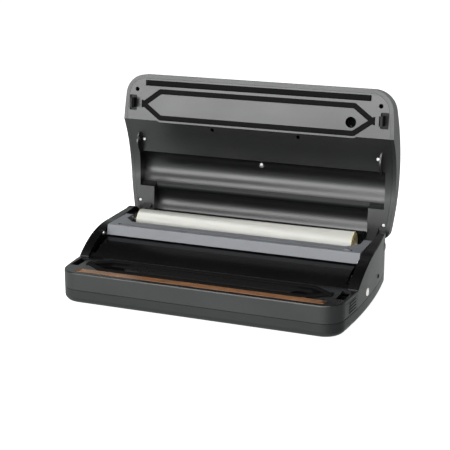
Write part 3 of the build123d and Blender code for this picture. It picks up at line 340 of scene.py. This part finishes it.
def woundFilm(name, look):
    mat, tree, shader, place = startMaterial(name)
    wave = addNoise(tree, stretched(tree, place, look["waveRun"]), look["waveScale"], look["waveDetail"])
    out = mathNode(tree, "ABSOLUTE", splitAxes(tree, place)["X"])
    cut = spread(tree, out, 0.0, 1.0, look["endFrom"], look["endFrom"] + look["endFade"])
    blend(tree, cut, ramp(tree, wave, look["tones"]), look["endTone"], shader.inputs["Base Color"])
    dull(tree, shader, wave, *look["rough"])
    shader.inputs["Subsurface Weight"].default_value = look["milk"]
    shader.inputs["Subsurface Radius"].default_value = look["milkReach"]
    emboss = addCells(tree, place, 1.0 / look["emboss"])
    height = mathNode(tree, "ADD", emboss, mathNode(tree, "MULTIPLY", wave, look["waveHeight"]))
    addBump(tree, shader, height, look["depth"], look["bump"])
    return mat


# rolled card: fibres along the tube
cardSet = {
    "tone": (0.55, 0.47, 0.3),
    "fibreRun": (0.2, 1.0, 1.0),
    "fibreScale": 700.0,
    "fibreDetail": 4.0,
    "fibreTones": (0.8, 1.15),
    "rough": (0.75, 0.92),
    "depth": 0.00008,
    "bump": 0.5,
}


def rolledCard(name, look):
    mat, tree, shader, place = startMaterial(name)
    fibrePlace = stretched(tree, place, look["fibreRun"])
    fibre = addNoise(tree, fibrePlace, look["fibreScale"], look["fibreDetail"])
    paint(tree, shader, mottle(tree, fibre, look["tone"], look["fibreTones"]))
    dull(tree, shader, fibre, *look["rough"])
    addBump(tree, shader, fibre, look["depth"], look["bump"])
    return mat


# circuit board: green mask with faint copper tracks under it
maskSet = {
    "tone": (0.02, 0.12, 0.04),
    "shares": {"Color1": 1.0, "Color2": 0.7, "Mortar": 1.9},
    "trackScale": 90.0,
    "trackWidth": 0.03,
    "shineScale": 300.0,
    "rough": (0.25, 0.42),
    "depth": 0.00005,
    "bump": 0.5,
}


def solderMask(name, look):
    mat, tree, shader, place = startMaterial(name)
    tracks = tree.nodes.new("ShaderNodeTexBrick")
    tracks.inputs["Scale"].default_value = look["trackScale"]
    tracks.inputs["Mortar Size"].default_value = look["trackWidth"]
    for socket, share in look["shares"].items():
        tracks.inputs[socket].default_value = (*shade(look["tone"], share), 1.0)
    tree.links.new(place, tracks.inputs["Vector"])
    paint(tree, shader, tracks.outputs["Color"])
    dull(tree, shader, addNoise(tree, place, look["shineScale"]), *look["rough"])
    addBump(tree, shader, tracks.outputs["Fac"], look["depth"], look["bump"])
    return mat


# lamination stack of the transformer
ironSet = {
    "tone": (0.09, 0.09, 0.1),
    "sheet": 0.0007,
    "rustScale": 180.0,
    "rustDetail": 4.0,
    "rustTones": [(0.35, 1.0), (0.75, 1.6)],
    "metal": 0.8,
    "rough": (0.4, 0.6),
    "depth": 0.0001,
    "bump": 0.6,
}


def ironStack(name, look):
    mat, tree, shader, place = startMaterial(name)
    sheets = waves(tree, splitAxes(tree, place)["Y"], look["sheet"])
    rust = addNoise(tree, place, look["rustScale"], look["rustDetail"])
    rustStops = [(at, shade(look["tone"], share)) for at, share in look["rustTones"]]
    paint(tree, shader, ramp(tree, rust, rustStops))
    shader.inputs["Metallic"].default_value = look["metal"]
    dull(tree, shader, rust, *look["rough"])
    addBump(tree, shader, sheets, look["depth"], look["bump"])
    return mat


# one finish for each material slot
finishes = {
    "charcoal_plastic": mouldedPlastic(
        "charcoalPlastic",
        {"tone": (0.0052, 0.0055, 0.006), "grain": 0.0004, "depth": 0.00005, "rough": 0.36, "specular": 0.8},
    ),
    "black_plastic": mouldedPlastic(
        "blackPlastic",
        {"tone": (0.005, 0.005, 0.0055), "grain": 0.0004, "depth": 0.00005, "rough": 0.38, "specular": 0.8},
    ),
    "liner_plastic": mouldedPlastic(
        "linerPlastic",
        {"tone": (0.004, 0.0042, 0.0046), "grain": 0.0003, "depth": 0.00003, "rough": 0.32, "specular": 0.8},
    ),
    "slate_plastic": mouldedPlastic(
        "slatePlastic",
        {"tone": (0.121, 0.127, 0.138), "grain": 0.0004, "depth": 0.00005, "rough": 0.45, "specular": 0.45},
    ),
    "key_plastic": mouldedPlastic(
        "keyPlastic",
        {"tone": (0.2, 0.21, 0.22), "grain": 0.0003, "depth": 0.00003, "rough": 0.42, "specular": 0.5},
    ),
    "gloss_panel": mouldedPlastic(
        "glossPanel",
        {"tone": (0.006, 0.006, 0.007), "grain": 0.0008, "depth": 0.00001, "rough": 0.12, "specular": 0.5},
    ),
    "white_plastic": mouldedPlastic(
        "whitePlastic",
        {"tone": (0.78, 0.78, 0.74), "grain": 0.0004, "depth": 0.00004, "rough": 0.35, "specular": 0.5},
    ),
    "light_lens": mouldedPlastic(
        "lightLens",
        {"tone": (0.3, 0.55, 0.36), "grain": 0.0006, "depth": 0.00002, "rough": 0.15, "specular": 0.6},
    ),
    "coil_wrap": mouldedPlastic(
        "coilWrap",
        {"tone": (0.5, 0.34, 0.06), "grain": 0.0012, "depth": 0.0001, "rough": 0.4, "specular": 0.5},
    ),
    "bakelite": mouldedPlastic(
        "phenolicResin",
        {"tone": (0.05, 0.03, 0.022), "grain": 0.0006, "depth": 0.00004, "rough": 0.4, "specular": 0.5},
    ),
    "rubber": softRubber(
        "rubberFeet",
        {"tone": (0.012, 0.012, 0.012), "pore": 0.0009, "depth": 0.00005, "rough": 0.7, "specular": 0.3},
    ),
    "foam": softRubber(
        "foamGasket",
        {"tone": (0.0045, 0.0045, 0.0045), "pore": 0.0007, "depth": 0.00018, "rough": 0.85, "specular": 0.08},
    ),
    "silicone": softRubber(
        "clearSilicone",
        {"tone": (0.6, 0.6, 0.57), "pore": 0.002, "depth": 0.00002, "rough": 0.42, "specular": 0.5},
    ),
    "silicone_black": softRubber(
        "blackSilicone",
        {"tone": (0.003, 0.003, 0.003), "pore": 0.0012, "depth": 0.00003, "rough": 0.6, "specular": 0.05},
    ),
    # zinc steel: heads above 0.215 m take near-black painted shade
    "zinc_steel": platedSteel(
        "zincSteel", {"tone": (0.5, 0.5, 0.48), "run": (1.0, 1.0, 1.0), "rough": 0.4, "shadeAbove": 0.215}
    ),
    "blade_steel": platedSteel(
        "bladeSteel", {"tone": (0.6, 0.61, 0.63), "run": (0.1, 1.0, 1.0), "rough": 0.22}
    ),
    "clip_metal": platedSteel(
        "clipMetal", {"tone": (0.2, 0.12, 0.07), "run": (1.0, 0.3, 1.0), "rough": 0.45}
    ),
    "resistance_alloy": platedSteel(
        "resistanceAlloy", {"tone": (0.42, 0.4, 0.38), "run": (0.05, 1.0, 1.0), "rough": 0.35}
    ),
    "brass": platedSteel(
        "brassPins", {"tone": (0.72, 0.53, 0.25), "run": (1.0, 0.2, 1.0), "rough": 0.28}
    ),
    "iron": ironStack("ironStack", ironSet),
    "circuit_board": solderMask("solderMask", maskSet),
    "coated_tape": coatedCloth("coatedTape", clothSet),
    "film": woundFilm("woundFilm", filmSet),
    "card": rolledCard("rolledCard", cardSet),
}
# duller mouldings: deck, pockets, the crest between the lid's flutes and the tray under the base; the deck's
# and the pockets' darker tones are painted shade
deckShadePlastic = mouldedPlastic(
    "deckShadePlastic",
    {"tone": (0.003, 0.003, 0.0032), "grain": 0.0004, "depth": 0.00003, "rough": 0.24, "specular": 0.22},
)
# near-black copy for pockets and gaps: painted shade
pocketShadePlastic = mouldedPlastic(
    "pocketShadePlastic",
    {"tone": (0.0025, 0.0025, 0.0026), "grain": 0.0005, "depth": 0.00005, "rough": 0.6, "specular": 0.04},
)
crestPlastic = mouldedPlastic(
    "crestPlastic",
    {"tone": (0.004, 0.0042, 0.0046), "grain": 0.0003, "depth": 0.00003, "rough": 0.46, "specular": 0.25},
)
trayPlastic = mouldedPlastic(
    "trayPlastic",
    {"tone": (0.005, 0.0053, 0.0058), "grain": 0.0004, "depth": 0.00005, "rough": 0.38, "specular": 0.56},
)
# trough tray and roll bay take the deck's darker copy: painted shade, with a duller gloss
nodeLooks = {
    "trough_tray": deckShadePlastic,
    "roll_bay": deckShadePlastic,
    "lid_hooks": crestPlastic,
    "bottom_tray": trayPlastic,
}
for entry in frame["record"]["subparts"]:
    piece = nodes[entry["node"]]
    piece.data.materials.clear()
    piece.data.materials.append(nodeLooks.get(entry["node"], finishes[entry["material_slot"]]))


# faces that take one of the duller finishes; deck and pocket faces also take painted shade
def between(value, ends):
    return ends[0] < value < ends[1]


# upward faces of the deck and upward or inward faces of the housing take the deck's painted shade
deckSet = {"level": 0.98, "above": 0.03, "upward": 0.25, "inward": -0.3}


def onDeck(face):
    return face.normal.z > deckSet["level"] and face.center.z > deckSet["above"]


def onInnerSide(face):
    outward = face.normal.x * math.copysign(1.0, face.center.x)
    return face.normal.z > deckSet["upward"] or outward < deckSet["inward"]


# the release buttons' windows, painted dark as shade in their gaps
buttonSet = {
    "windowX": (0.165, 0.189),
    "windowY": (-0.1068, -0.0626),
    "windowZ": (0.0205, 0.0412),
    "edgeOn": 0.5,
    "plateX": 0.1835,
    "edgeX": 0.1885,
}


def inWindow(face):
    across = between(abs(face.center.x), buttonSet["windowX"])
    along = between(face.center.y, buttonSet["windowY"])
    upright = between(face.center.z, buttonSet["windowZ"])
    return across and along and upright and abs(face.normal.x) < buttonSet["edgeOn"]


def behindCap(face):
    reach = abs(face.center.x)
    edge = abs(face.normal.x) < buttonSet["edgeOn"] and reach < buttonSet["edgeX"]
    return reach < buttonSet["plateX"] or edge


# the lid as it stands open: its sealing plane, hook pockets, suction port and crest
lidSet = {
    "facing": Vector((0.0, -0.99396, 0.10973)),
    "plane": -0.0597,
    "sunk": 0.0008,
    "front": 0.5,
    "hookX": (0.163, 0.186),
    "hookZ": (0.2, 0.245),
    "port": (0.133, 0.218),
    "portReach": 0.007,
    "crestY": (0.1082, 0.1116),
    "crestZ": (0.0972, 0.1082),
    "crestSide": 0.3,
}


# hook pockets and the suction port, coloured near black as painted shade
def inPocket(face):
    spot = face.center
    sunk = lidSet["plane"] - spot.dot(lidSet["facing"]) > lidSet["sunk"]
    hook = between(abs(spot.x), lidSet["hookX"]) and between(spot.z, lidSet["hookZ"])
    portX, portZ = lidSet["port"]
    port = math.hypot(spot.x - portX, spot.z - portZ) < lidSet["portReach"]
    return sunk and (hook or port)


def behindPocket(face):
    return inPocket(face) and face.normal.dot(lidSet["facing"]) > lidSet["front"]


def onCrest(face):
    inside = between(face.center.y, lidSet["crestY"]) and between(face.center.z, lidSet["crestZ"])
    return inside and abs(face.normal.x) < lidSet["crestSide"]


# pocket faces take painted shade, deck faces the deck's painted shade, the crest only a duller gloss
faceLooks = [
    ("deck_panel", deckShadePlastic, onDeck),
    ("base_housing", deckShadePlastic, onInnerSide),
    ("deck_panel", pocketShadePlastic, inWindow),
    ("release_button_right", pocketShadePlastic, behindCap),
    ("release_button_left", pocketShadePlastic, behindCap),
    ("lid_liner", pocketShadePlastic, inPocket),
    ("lid_liner", crestPlastic, onCrest),
    ("lid_shell", pocketShadePlastic, behindPocket),
]
for nodeName, finish, test in faceLooks:
    mesh = nodes[nodeName].data
    mesh.materials.append(finish)
    for face in mesh.polygons:
        if test(face):
            face.material_index = len(mesh.materials) - 1
print("materials on", len(nodes), "nodes")


# soft pieces: foam rings and the pressure strip as rounded copies of their solids
softSet = {
    "lowerFoamRing": {"node": "lower_gasket", "body": "base", "slot": "foam", "round": 0.0009},
    "upperFoamRing": {"node": "upper_gasket", "body": "lid", "slot": "foam", "round": 0.0006},
    "pressurePad": {"node": "pressure_strip", "body": "lid", "slot": "silicone_black", "round": 0.0006},
}
edgeSet = {"weld": 0.000002, "flat": 0.01, "segments": 4, "corner": 40.0}
for softName, softLook in softSet.items():
    softMesh = bpy.data.meshes.new(softName)
    shape = bmesh.new()
    shape.from_mesh(nodes[softLook["node"]].data)
    bmesh.ops.remove_doubles(shape, verts=shape.verts, dist=edgeSet["weld"])
    bmesh.ops.dissolve_limit(shape, angle_limit=edgeSet["flat"], verts=shape.verts, edges=shape.edges)
    shape.to_mesh(softMesh)
    shape.free()
    softMesh.materials.append(finishes[softLook["slot"]])
    soft = addObject(softName, softMesh)
    edge = soft.modifiers.new("edge", "BEVEL")
    edge.width = softLook["round"]
    edge.segments = edgeSet["segments"]
    edge.limit_method = "ANGLE"
    edge.angle_limit = math.radians(edgeSet["corner"])
    edge.harden_normals = True
    for face in softMesh.polygons:
        face.use_smooth = True
    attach(soft, softLook["body"])
    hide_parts(softLook["node"])
print("soft pieces on")


# helpers for geometry node trees
def startTree(name, sizes):
    tree = bpy.data.node_groups.new(name, "GeometryNodeTree")
    tree.interface.new_socket("Geometry", in_out="INPUT", socket_type="NodeSocketGeometry")
    tree.interface.new_socket("Geometry", in_out="OUTPUT", socket_type="NodeSocketGeometry")
    for label, value in sizes.items():
        kind = "NodeSocketInt" if isinstance(value, int) else "NodeSocketFloat"
        tree.interface.new_socket(label, in_out="INPUT", socket_type=kind)
    return tree, tree.nodes.new("NodeGroupInput"), tree.nodes.new("NodeGroupOutput")


def joinTree(tree, *pairs):
    for start, end in pairs:
        tree.links.new(start, end)


def closeTree(tree, geometry, finish, out):
    real = tree.nodes.new("GeometryNodeRealizeInstances")
    coat = tree.nodes.new("GeometryNodeSetMaterial")
    coat.inputs["Material"].default_value = finish
    joinTree(
        tree,
        (geometry, real.inputs["Geometry"]),
        (real.outputs["Geometry"], coat.inputs["Geometry"]),
        (coat.outputs["Geometry"], out.inputs["Geometry"]),
    )


# runs a tree and keeps its result as a plain mesh
def runTree(name, tree, sizes):
    holder = addObject(name + "Holder", bpy.data.meshes.new(name + "Holder"))
    nodesMod = holder.modifiers.new("shape", "NODES")
    nodesMod.node_group = tree
    for item in tree.interface.items_tree:
        if item.in_out == "INPUT" and item.name in sizes:
            nodesMod[item.identifier] = sizes[item.name]
    ready = holder.evaluated_get(bpy.context.evaluated_depsgraph_get())
    mesh = bpy.data.meshes.new_from_object(ready)
    mesh.name = name
    holder.modifiers.remove(nodesMod)
    bpy.data.objects.remove(holder)
    return addObject(name, mesh)


# film roll: one long sheet wound up, its turns a little uneven at the ends
rollSet = {
    "sizes": {
        "turns": 13,
        "steps": 56,
        "inner": 0.0104,
        "outer": 0.0165,
        "film": 0.00043,
        "width": 0.3044,
        "drift": 0.0011,
    },
    "driftScale": 26.0,
    "driftDetail": 2.0,
    "axis": (0.0, 0.049268, 0.066),
    "sharp": 35.0,
}
rollTree, rollIn, rollOut = startTree("windFilm", rollSet["sizes"])
spiral = rollTree.nodes.new("GeometryNodeCurveSpiral")
spiral.inputs["Height"].default_value = 0.0
sheetEdge = rollTree.nodes.new("GeometryNodeCurvePrimitiveQuadrilateral")
along = rollTree.nodes.new("GeometryNodeSplineParameter")
drift = rollTree.nodes.new("ShaderNodeTexNoise")
drift.noise_dimensions = "1D"
drift.inputs["Scale"].default_value = rollSet["driftScale"]
drift.inputs["Detail"].default_value = rollSet["driftDetail"]
evenDrift = mathNode(rollTree, "SUBTRACT", drift.outputs["Fac"], 0.5)
stray = mathNode(rollTree, "MULTIPLY", evenDrift, rollIn.outputs["drift"])
shift = rollTree.nodes.new("ShaderNodeCombineXYZ")
move = rollTree.nodes.new("GeometryNodeSetPosition")
upright = rollTree.nodes.new("GeometryNodeSetCurveNormal")
upright.mode = "Z_UP"
wind = rollTree.nodes.new("GeometryNodeCurveToMesh")
wind.inputs["Fill Caps"].default_value = True
lay = rollTree.nodes.new("GeometryNodeTransform")
lay.inputs["Rotation"].default_value = (0.0, math.radians(90.0), 0.0)
lay.inputs["Translation"].default_value = rollSet["axis"]
smooth = rollTree.nodes.new("GeometryNodeSetShadeSmooth")
joinTree(
    rollTree,
    (rollIn.outputs["steps"], spiral.inputs["Resolution"]),
    (rollIn.outputs["turns"], spiral.inputs["Rotations"]),
    (rollIn.outputs["inner"], spiral.inputs["Start Radius"]),
    (rollIn.outputs["outer"], spiral.inputs["End Radius"]),
    (along.outputs["Factor"], drift.inputs["W"]),
    (stray, shift.inputs["Z"]),
    (spiral.outputs["Curve"], move.inputs["Geometry"]),
    (shift.outputs["Vector"], move.inputs["Offset"]),
    (move.outputs["Geometry"], upright.inputs["Curve"]),
    (upright.outputs["Curve"], wind.inputs["Curve"]),
    (rollIn.outputs["film"], sheetEdge.inputs["Width"]),
    (rollIn.outputs["width"], sheetEdge.inputs["Height"]),
    (sheetEdge.outputs["Curve"], wind.inputs["Profile Curve"]),
    (wind.outputs["Mesh"], lay.inputs["Geometry"]),
    (lay.outputs["Geometry"], smooth.inputs["Geometry"]),
)
closeTree(rollTree, smooth.outputs["Geometry"], finishes["film"], rollOut)
woundRoll = runTree("woundRoll", rollTree, rollSet["sizes"])
woundRoll.data.set_sharp_from_angle(angle=math.radians(rollSet["sharp"]))
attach(woundRoll, "roll")
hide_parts("film_roll")
print("film wound", len(woundRoll.data.polygons))


# sealing tape: cloth strip that shows the ribbon under it and draws in a little at its ends
tapeSet = {
    "half": 0.1642,
    "width": 0.0128,
    "middleY": -0.114332,
    "low": 0.04382,
    "thick": 0.00022,
    "ridge": 0.00022,
    "ridgeReach": 0.0013,
    "ripple": 0.00004,
    "rippleTurns": (310.0, 83.0),
    "rippleSlant": 4.0,
    "endReach": 0.0012,
    "endPull": 0.08,
    "rows": 12,
    "columns": 240,
}


def tapeSpot(x, across):
    shortTurn, longTurn = tapeSet["rippleTurns"]
    ridge = tapeSet["ridge"] * math.exp(-((across * tapeSet["width"]) / tapeSet["ridgeReach"]) ** 2)
    wave = math.sin(x * shortTurn + across * tapeSet["rippleSlant"]) * math.sin(x * longTurn)
    corner = max(0.0, abs(x) - tapeSet["half"] + tapeSet["endReach"]) / tapeSet["endReach"]
    pull = 1.0 - tapeSet["endPull"] * corner**2
    height = tapeSet["low"] + tapeSet["thick"] + ridge + abs(tapeSet["ripple"] * wave)
    return (x, tapeSet["middleY"] + across * tapeSet["width"] * pull, height)


tapeMesh = bpy.data.meshes.new("sealingTape")
shape = bmesh.new()
grid = []
for column in range(tapeSet["columns"] + 1):
    x = -tapeSet["half"] + 2.0 * tapeSet["half"] * column / tapeSet["columns"]
    shares = [row / tapeSet["rows"] - 0.5 for row in range(tapeSet["rows"] + 1)]
    grid.append([shape.verts.new(tapeSpot(x, across)) for across in shares])
for line, following in zip(grid, grid[1:]):
    for row in range(tapeSet["rows"]):
        face = shape.faces.new((line[row], following[row], following[row + 1], line[row + 1]))
        face.smooth = True
shape.to_mesh(tapeMesh)
shape.free()
tapeMesh.materials.append(finishes["coated_tape"])
tape = addObject("sealingTape", tapeMesh)
wall = tape.modifiers.new("wall", "SOLIDIFY")
wall.thickness = tapeSet["thick"]
wall.offset = -1.0
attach(tape, "base")
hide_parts("seal_tape")
print("tape laid")


# finger ridges on the cutter slide
ridgeSet = {
    "sizes": {"count": 5, "pitch": 0.0011, "length": 0.0052, "width": 0.0005},
    "sides": 10,
    "sunk": 0.0001,
}
ridgeSizes = ridgeSet["sizes"]
slideLow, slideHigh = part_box("cutter_slider")
slideTop = ((slideLow[0] + slideHigh[0]) / 2.0, (slideLow[1] + slideHigh[1]) / 2.0, slideHigh[2])
ridgeTree, ridgeIn, ridgeOut = startTree("ridgeRow", ridgeSizes)
row = ridgeTree.nodes.new("GeometryNodeMeshLine")
step = ridgeTree.nodes.new("ShaderNodeCombineXYZ")
path = ridgeTree.nodes.new("GeometryNodeCurvePrimitiveLine")
path.mode = "DIRECTION"
path.inputs["Direction"].default_value = (0.0, 1.0, 0.0)
section = ridgeTree.nodes.new("GeometryNodeCurvePrimitiveCircle")
section.inputs["Resolution"].default_value = ridgeSet["sides"]
ridge = ridgeTree.nodes.new("GeometryNodeCurveToMesh")
ridge.inputs["Fill Caps"].default_value = True
copies = ridgeTree.nodes.new("GeometryNodeInstanceOnPoints")
seat = ridgeTree.nodes.new("GeometryNodeTransform")
seat.inputs["Translation"].default_value = slideTop
joinTree(
    ridgeTree,
    (ridgeIn.outputs["count"], row.inputs["Count"]),
    (ridgeIn.outputs["pitch"], step.inputs["X"]),
    (step.outputs["Vector"], row.inputs["Offset"]),
    (ridgeIn.outputs["length"], path.inputs["Length"]),
    (mathNode(ridgeTree, "MULTIPLY", ridgeIn.outputs["width"], 0.5), section.inputs["Radius"]),
    (path.outputs["Curve"], ridge.inputs["Curve"]),
    (section.outputs["Curve"], ridge.inputs["Profile Curve"]),
    (row.outputs["Mesh"], copies.inputs["Points"]),
    (ridge.outputs["Mesh"], copies.inputs["Instance"]),
    (copies.outputs["Instances"], seat.inputs["Geometry"]),
)
closeTree(ridgeTree, seat.outputs["Geometry"], finishes["slate_plastic"], ridgeOut)
slideRidges = runTree("slideRidges", ridgeTree, ridgeSizes)
ridgeMid = (ridgeSizes["count"] - 1) * ridgeSizes["pitch"] / 2.0
slideRidges.data.transform(Matrix.Translation((-ridgeMid, -ridgeSizes["length"] / 2.0, -ridgeSet["sunk"])))
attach(slideRidges, "cutter_slide")
print("slide ridges on")


# return springs of the lid's release buttons: the real ones shorten as a button goes in, these keep one
# length
springSet = {
    "sizes": {"turns": 5, "steps": 28, "coil": 0.0016, "wire": 0.0003, "rise": 0.0069},
    "sides": 12,
    "inner": 0.1584,
    "lineY": -0.08653,
    "lineZ": 0.03815,
    "keep": 0.52,
}
springTree, springIn, springOut = startTree("windSpring", springSet["sizes"])
helix = springTree.nodes.new("GeometryNodeCurveSpiral")
wireEdge = springTree.nodes.new("GeometryNodeCurvePrimitiveCircle")
wireEdge.inputs["Resolution"].default_value = springSet["sides"]
coil = springTree.nodes.new("GeometryNodeCurveToMesh")
coil.inputs["Fill Caps"].default_value = True
tip = springTree.nodes.new("GeometryNodeTransform")
tip.inputs["Rotation"].default_value = (0.0, math.radians(90.0), 0.0)
sheen = springTree.nodes.new("GeometryNodeSetShadeSmooth")
joinTree(
    springTree,
    (springIn.outputs["steps"], helix.inputs["Resolution"]),
    (springIn.outputs["turns"], helix.inputs["Rotations"]),
    (springIn.outputs["coil"], helix.inputs["Start Radius"]),
    (springIn.outputs["coil"], helix.inputs["End Radius"]),
    (springIn.outputs["rise"], helix.inputs["Height"]),
    (springIn.outputs["wire"], wireEdge.inputs["Radius"]),
    (helix.outputs["Curve"], coil.inputs["Curve"]),
    (wireEdge.outputs["Curve"], coil.inputs["Profile Curve"]),
    (coil.outputs["Mesh"], tip.inputs["Geometry"]),
    (tip.outputs["Geometry"], sheen.inputs["Geometry"]),
)
closeTree(springTree, sheen.outputs["Geometry"], finishes["zinc_steel"], springOut)
for label, side in (("right", 1.0), ("left", -1.0)):
    spring = runTree(label + "Spring", springTree, springSet["sizes"])
    seatX = springSet["inner"] + springSet["sizes"]["wire"]
    spring.data.transform(Matrix.Translation((seatX, springSet["lineY"], springSet["lineZ"])))
    if side < 0.0:
        spring.data.transform(Matrix.Diagonal((-1.0, 1.0, 1.0, 1.0)))
        spring.data.flip_normals()
    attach(spring, "base")
    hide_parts("release_spring_" + label)
    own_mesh(spring)
print("springs wound")


# white floor, a dim room and three soft boxes from low in front to overhead
floorSet = {
    "half": 60.0,
    "tone": (0.84, 0.84, 0.84),
    "cloudScale": 3.0,
    "cloudTones": (0.99, 1.0),
    "rough": 0.9,
    "specular": 0.1,
    "glow": 0.9,
}
half = floorSet["half"]
floorMesh = bpy.data.meshes.new("floor")
floorMesh.from_pydata(
    [(-half, -half, 0.0), (half, -half, 0.0), (half, half, 0.0), (-half, half, 0.0)], [], [(0, 1, 2, 3)]
)
floor = addObject("floor", floorMesh)
floor.visible_glossy = False
floorMat, floorTree, floorShader, floorPlace = startMaterial("paleFloor")
floorCloud = addNoise(floorTree, floorPlace, floorSet["cloudScale"])
paint(floorTree, floorShader, mottle(floorTree, floorCloud, floorSet["tone"], floorSet["cloudTones"]))
floorShader.inputs["Roughness"].default_value = floorSet["rough"]
floorShader.inputs["Specular IOR Level"].default_value = floorSet["specular"]
floorShader.inputs["Emission Color"].default_value = (1.0, 1.0, 1.0, 1.0)
floorShader.inputs["Emission Strength"].default_value = floorSet["glow"]
floorMesh.materials.append(floorMat)

# room: brightness by height, from straight down to straight up, and dimmer to the right
skySet = {
    "back": [(0.0, 0.62), (0.44, 0.68), (0.5, 0.7), (0.68, 0.7), (0.78, 0.02), (1.0, 0.015)],
    "front": [(0.0, 0.75), (0.44, 0.9), (0.52, 0.3), (0.64, 0.03), (0.8, 0.015), (1.0, 0.015)],
    "tint": (0.95, 1.0, 0.98),
    "turnY": (-0.15, 0.15),
    "right": 0.4,
    "rightX": (0.25, 0.65),
}
world = bpy.data.worlds.new("studio")
scene.world = world
world.use_nodes = True
skyTree = world.node_tree
room = skyTree.nodes["Background"]
skyAxes = splitAxes(skyTree, skyTree.nodes.new("ShaderNodeTexCoord").outputs["Generated"])
height = spread(skyTree, skyAxes["Z"], 0.0, 1.0, -1.0, 1.0)
sides = {}
for side in ("back", "front"):
    stops = [(at, shade(skySet["tint"], share)) for at, share in skySet[side]]
    sides[side] = ramp(skyTree, height, stops)
turn = spread(skyTree, skyAxes["Y"], 0.0, 1.0, *skySet["turnY"])
blend(skyTree, turn, sides["front"], sides["back"], room.inputs["Color"])
dim = spread(skyTree, skyAxes["X"], 1.0, skySet["right"], *skySet["rightX"])
skyTree.links.new(dim, room.inputs["Strength"])

# plain white behind the object: the room shows only in its reflections
backdrop = skyTree.nodes.new("ShaderNodeBackground")
backdrop.inputs["Color"].default_value = (1.0, 1.0, 1.0, 1.0)
direct = skyTree.nodes.new("ShaderNodeLightPath")
pick = skyTree.nodes.new("ShaderNodeMixShader")
joinTree(
    skyTree,
    (direct.outputs["Is Camera Ray"], pick.inputs[0]),
    (room.outputs["Background"], pick.inputs[1]),
    (backdrop.outputs["Background"], pick.inputs[2]),
    (pick.outputs["Shader"], skyTree.nodes["World Output"].inputs["Surface"]),
)

lightSet = {
    "frontBox": {"place": (-0.87, -2.3, 0.52), "aim": (0.0, 0.05, 0.25), "size": (2.4, 0.95), "watts": 45.0},
    "middleBox": {"place": (0.5, -1.85, 1.41), "aim": (0.0, 0.05, 0.17), "size": (2.2, 1.1), "watts": 36.0},
    "highBox": {"place": (-0.44, -1.08, 2.23), "aim": (0.0, 0.05, 0.17), "size": (2.0, 1.1), "watts": 43.0},
}
for lightName, lightLook in lightSet.items():
    lightData = bpy.data.lights.new(lightName, "AREA")
    lightData.shape = "RECTANGLE"
    lightData.size, lightData.size_y = lightLook["size"]
    lightData.energy = lightLook["watts"]
    light = addObject(lightName, lightData)
    light.location = lightLook["place"]
    light.rotation_euler = aimed(Vector(lightLook["aim"]) - Vector(lightLook["place"]))
scene.view_settings.view_transform = "Standard"
print("stage lit")
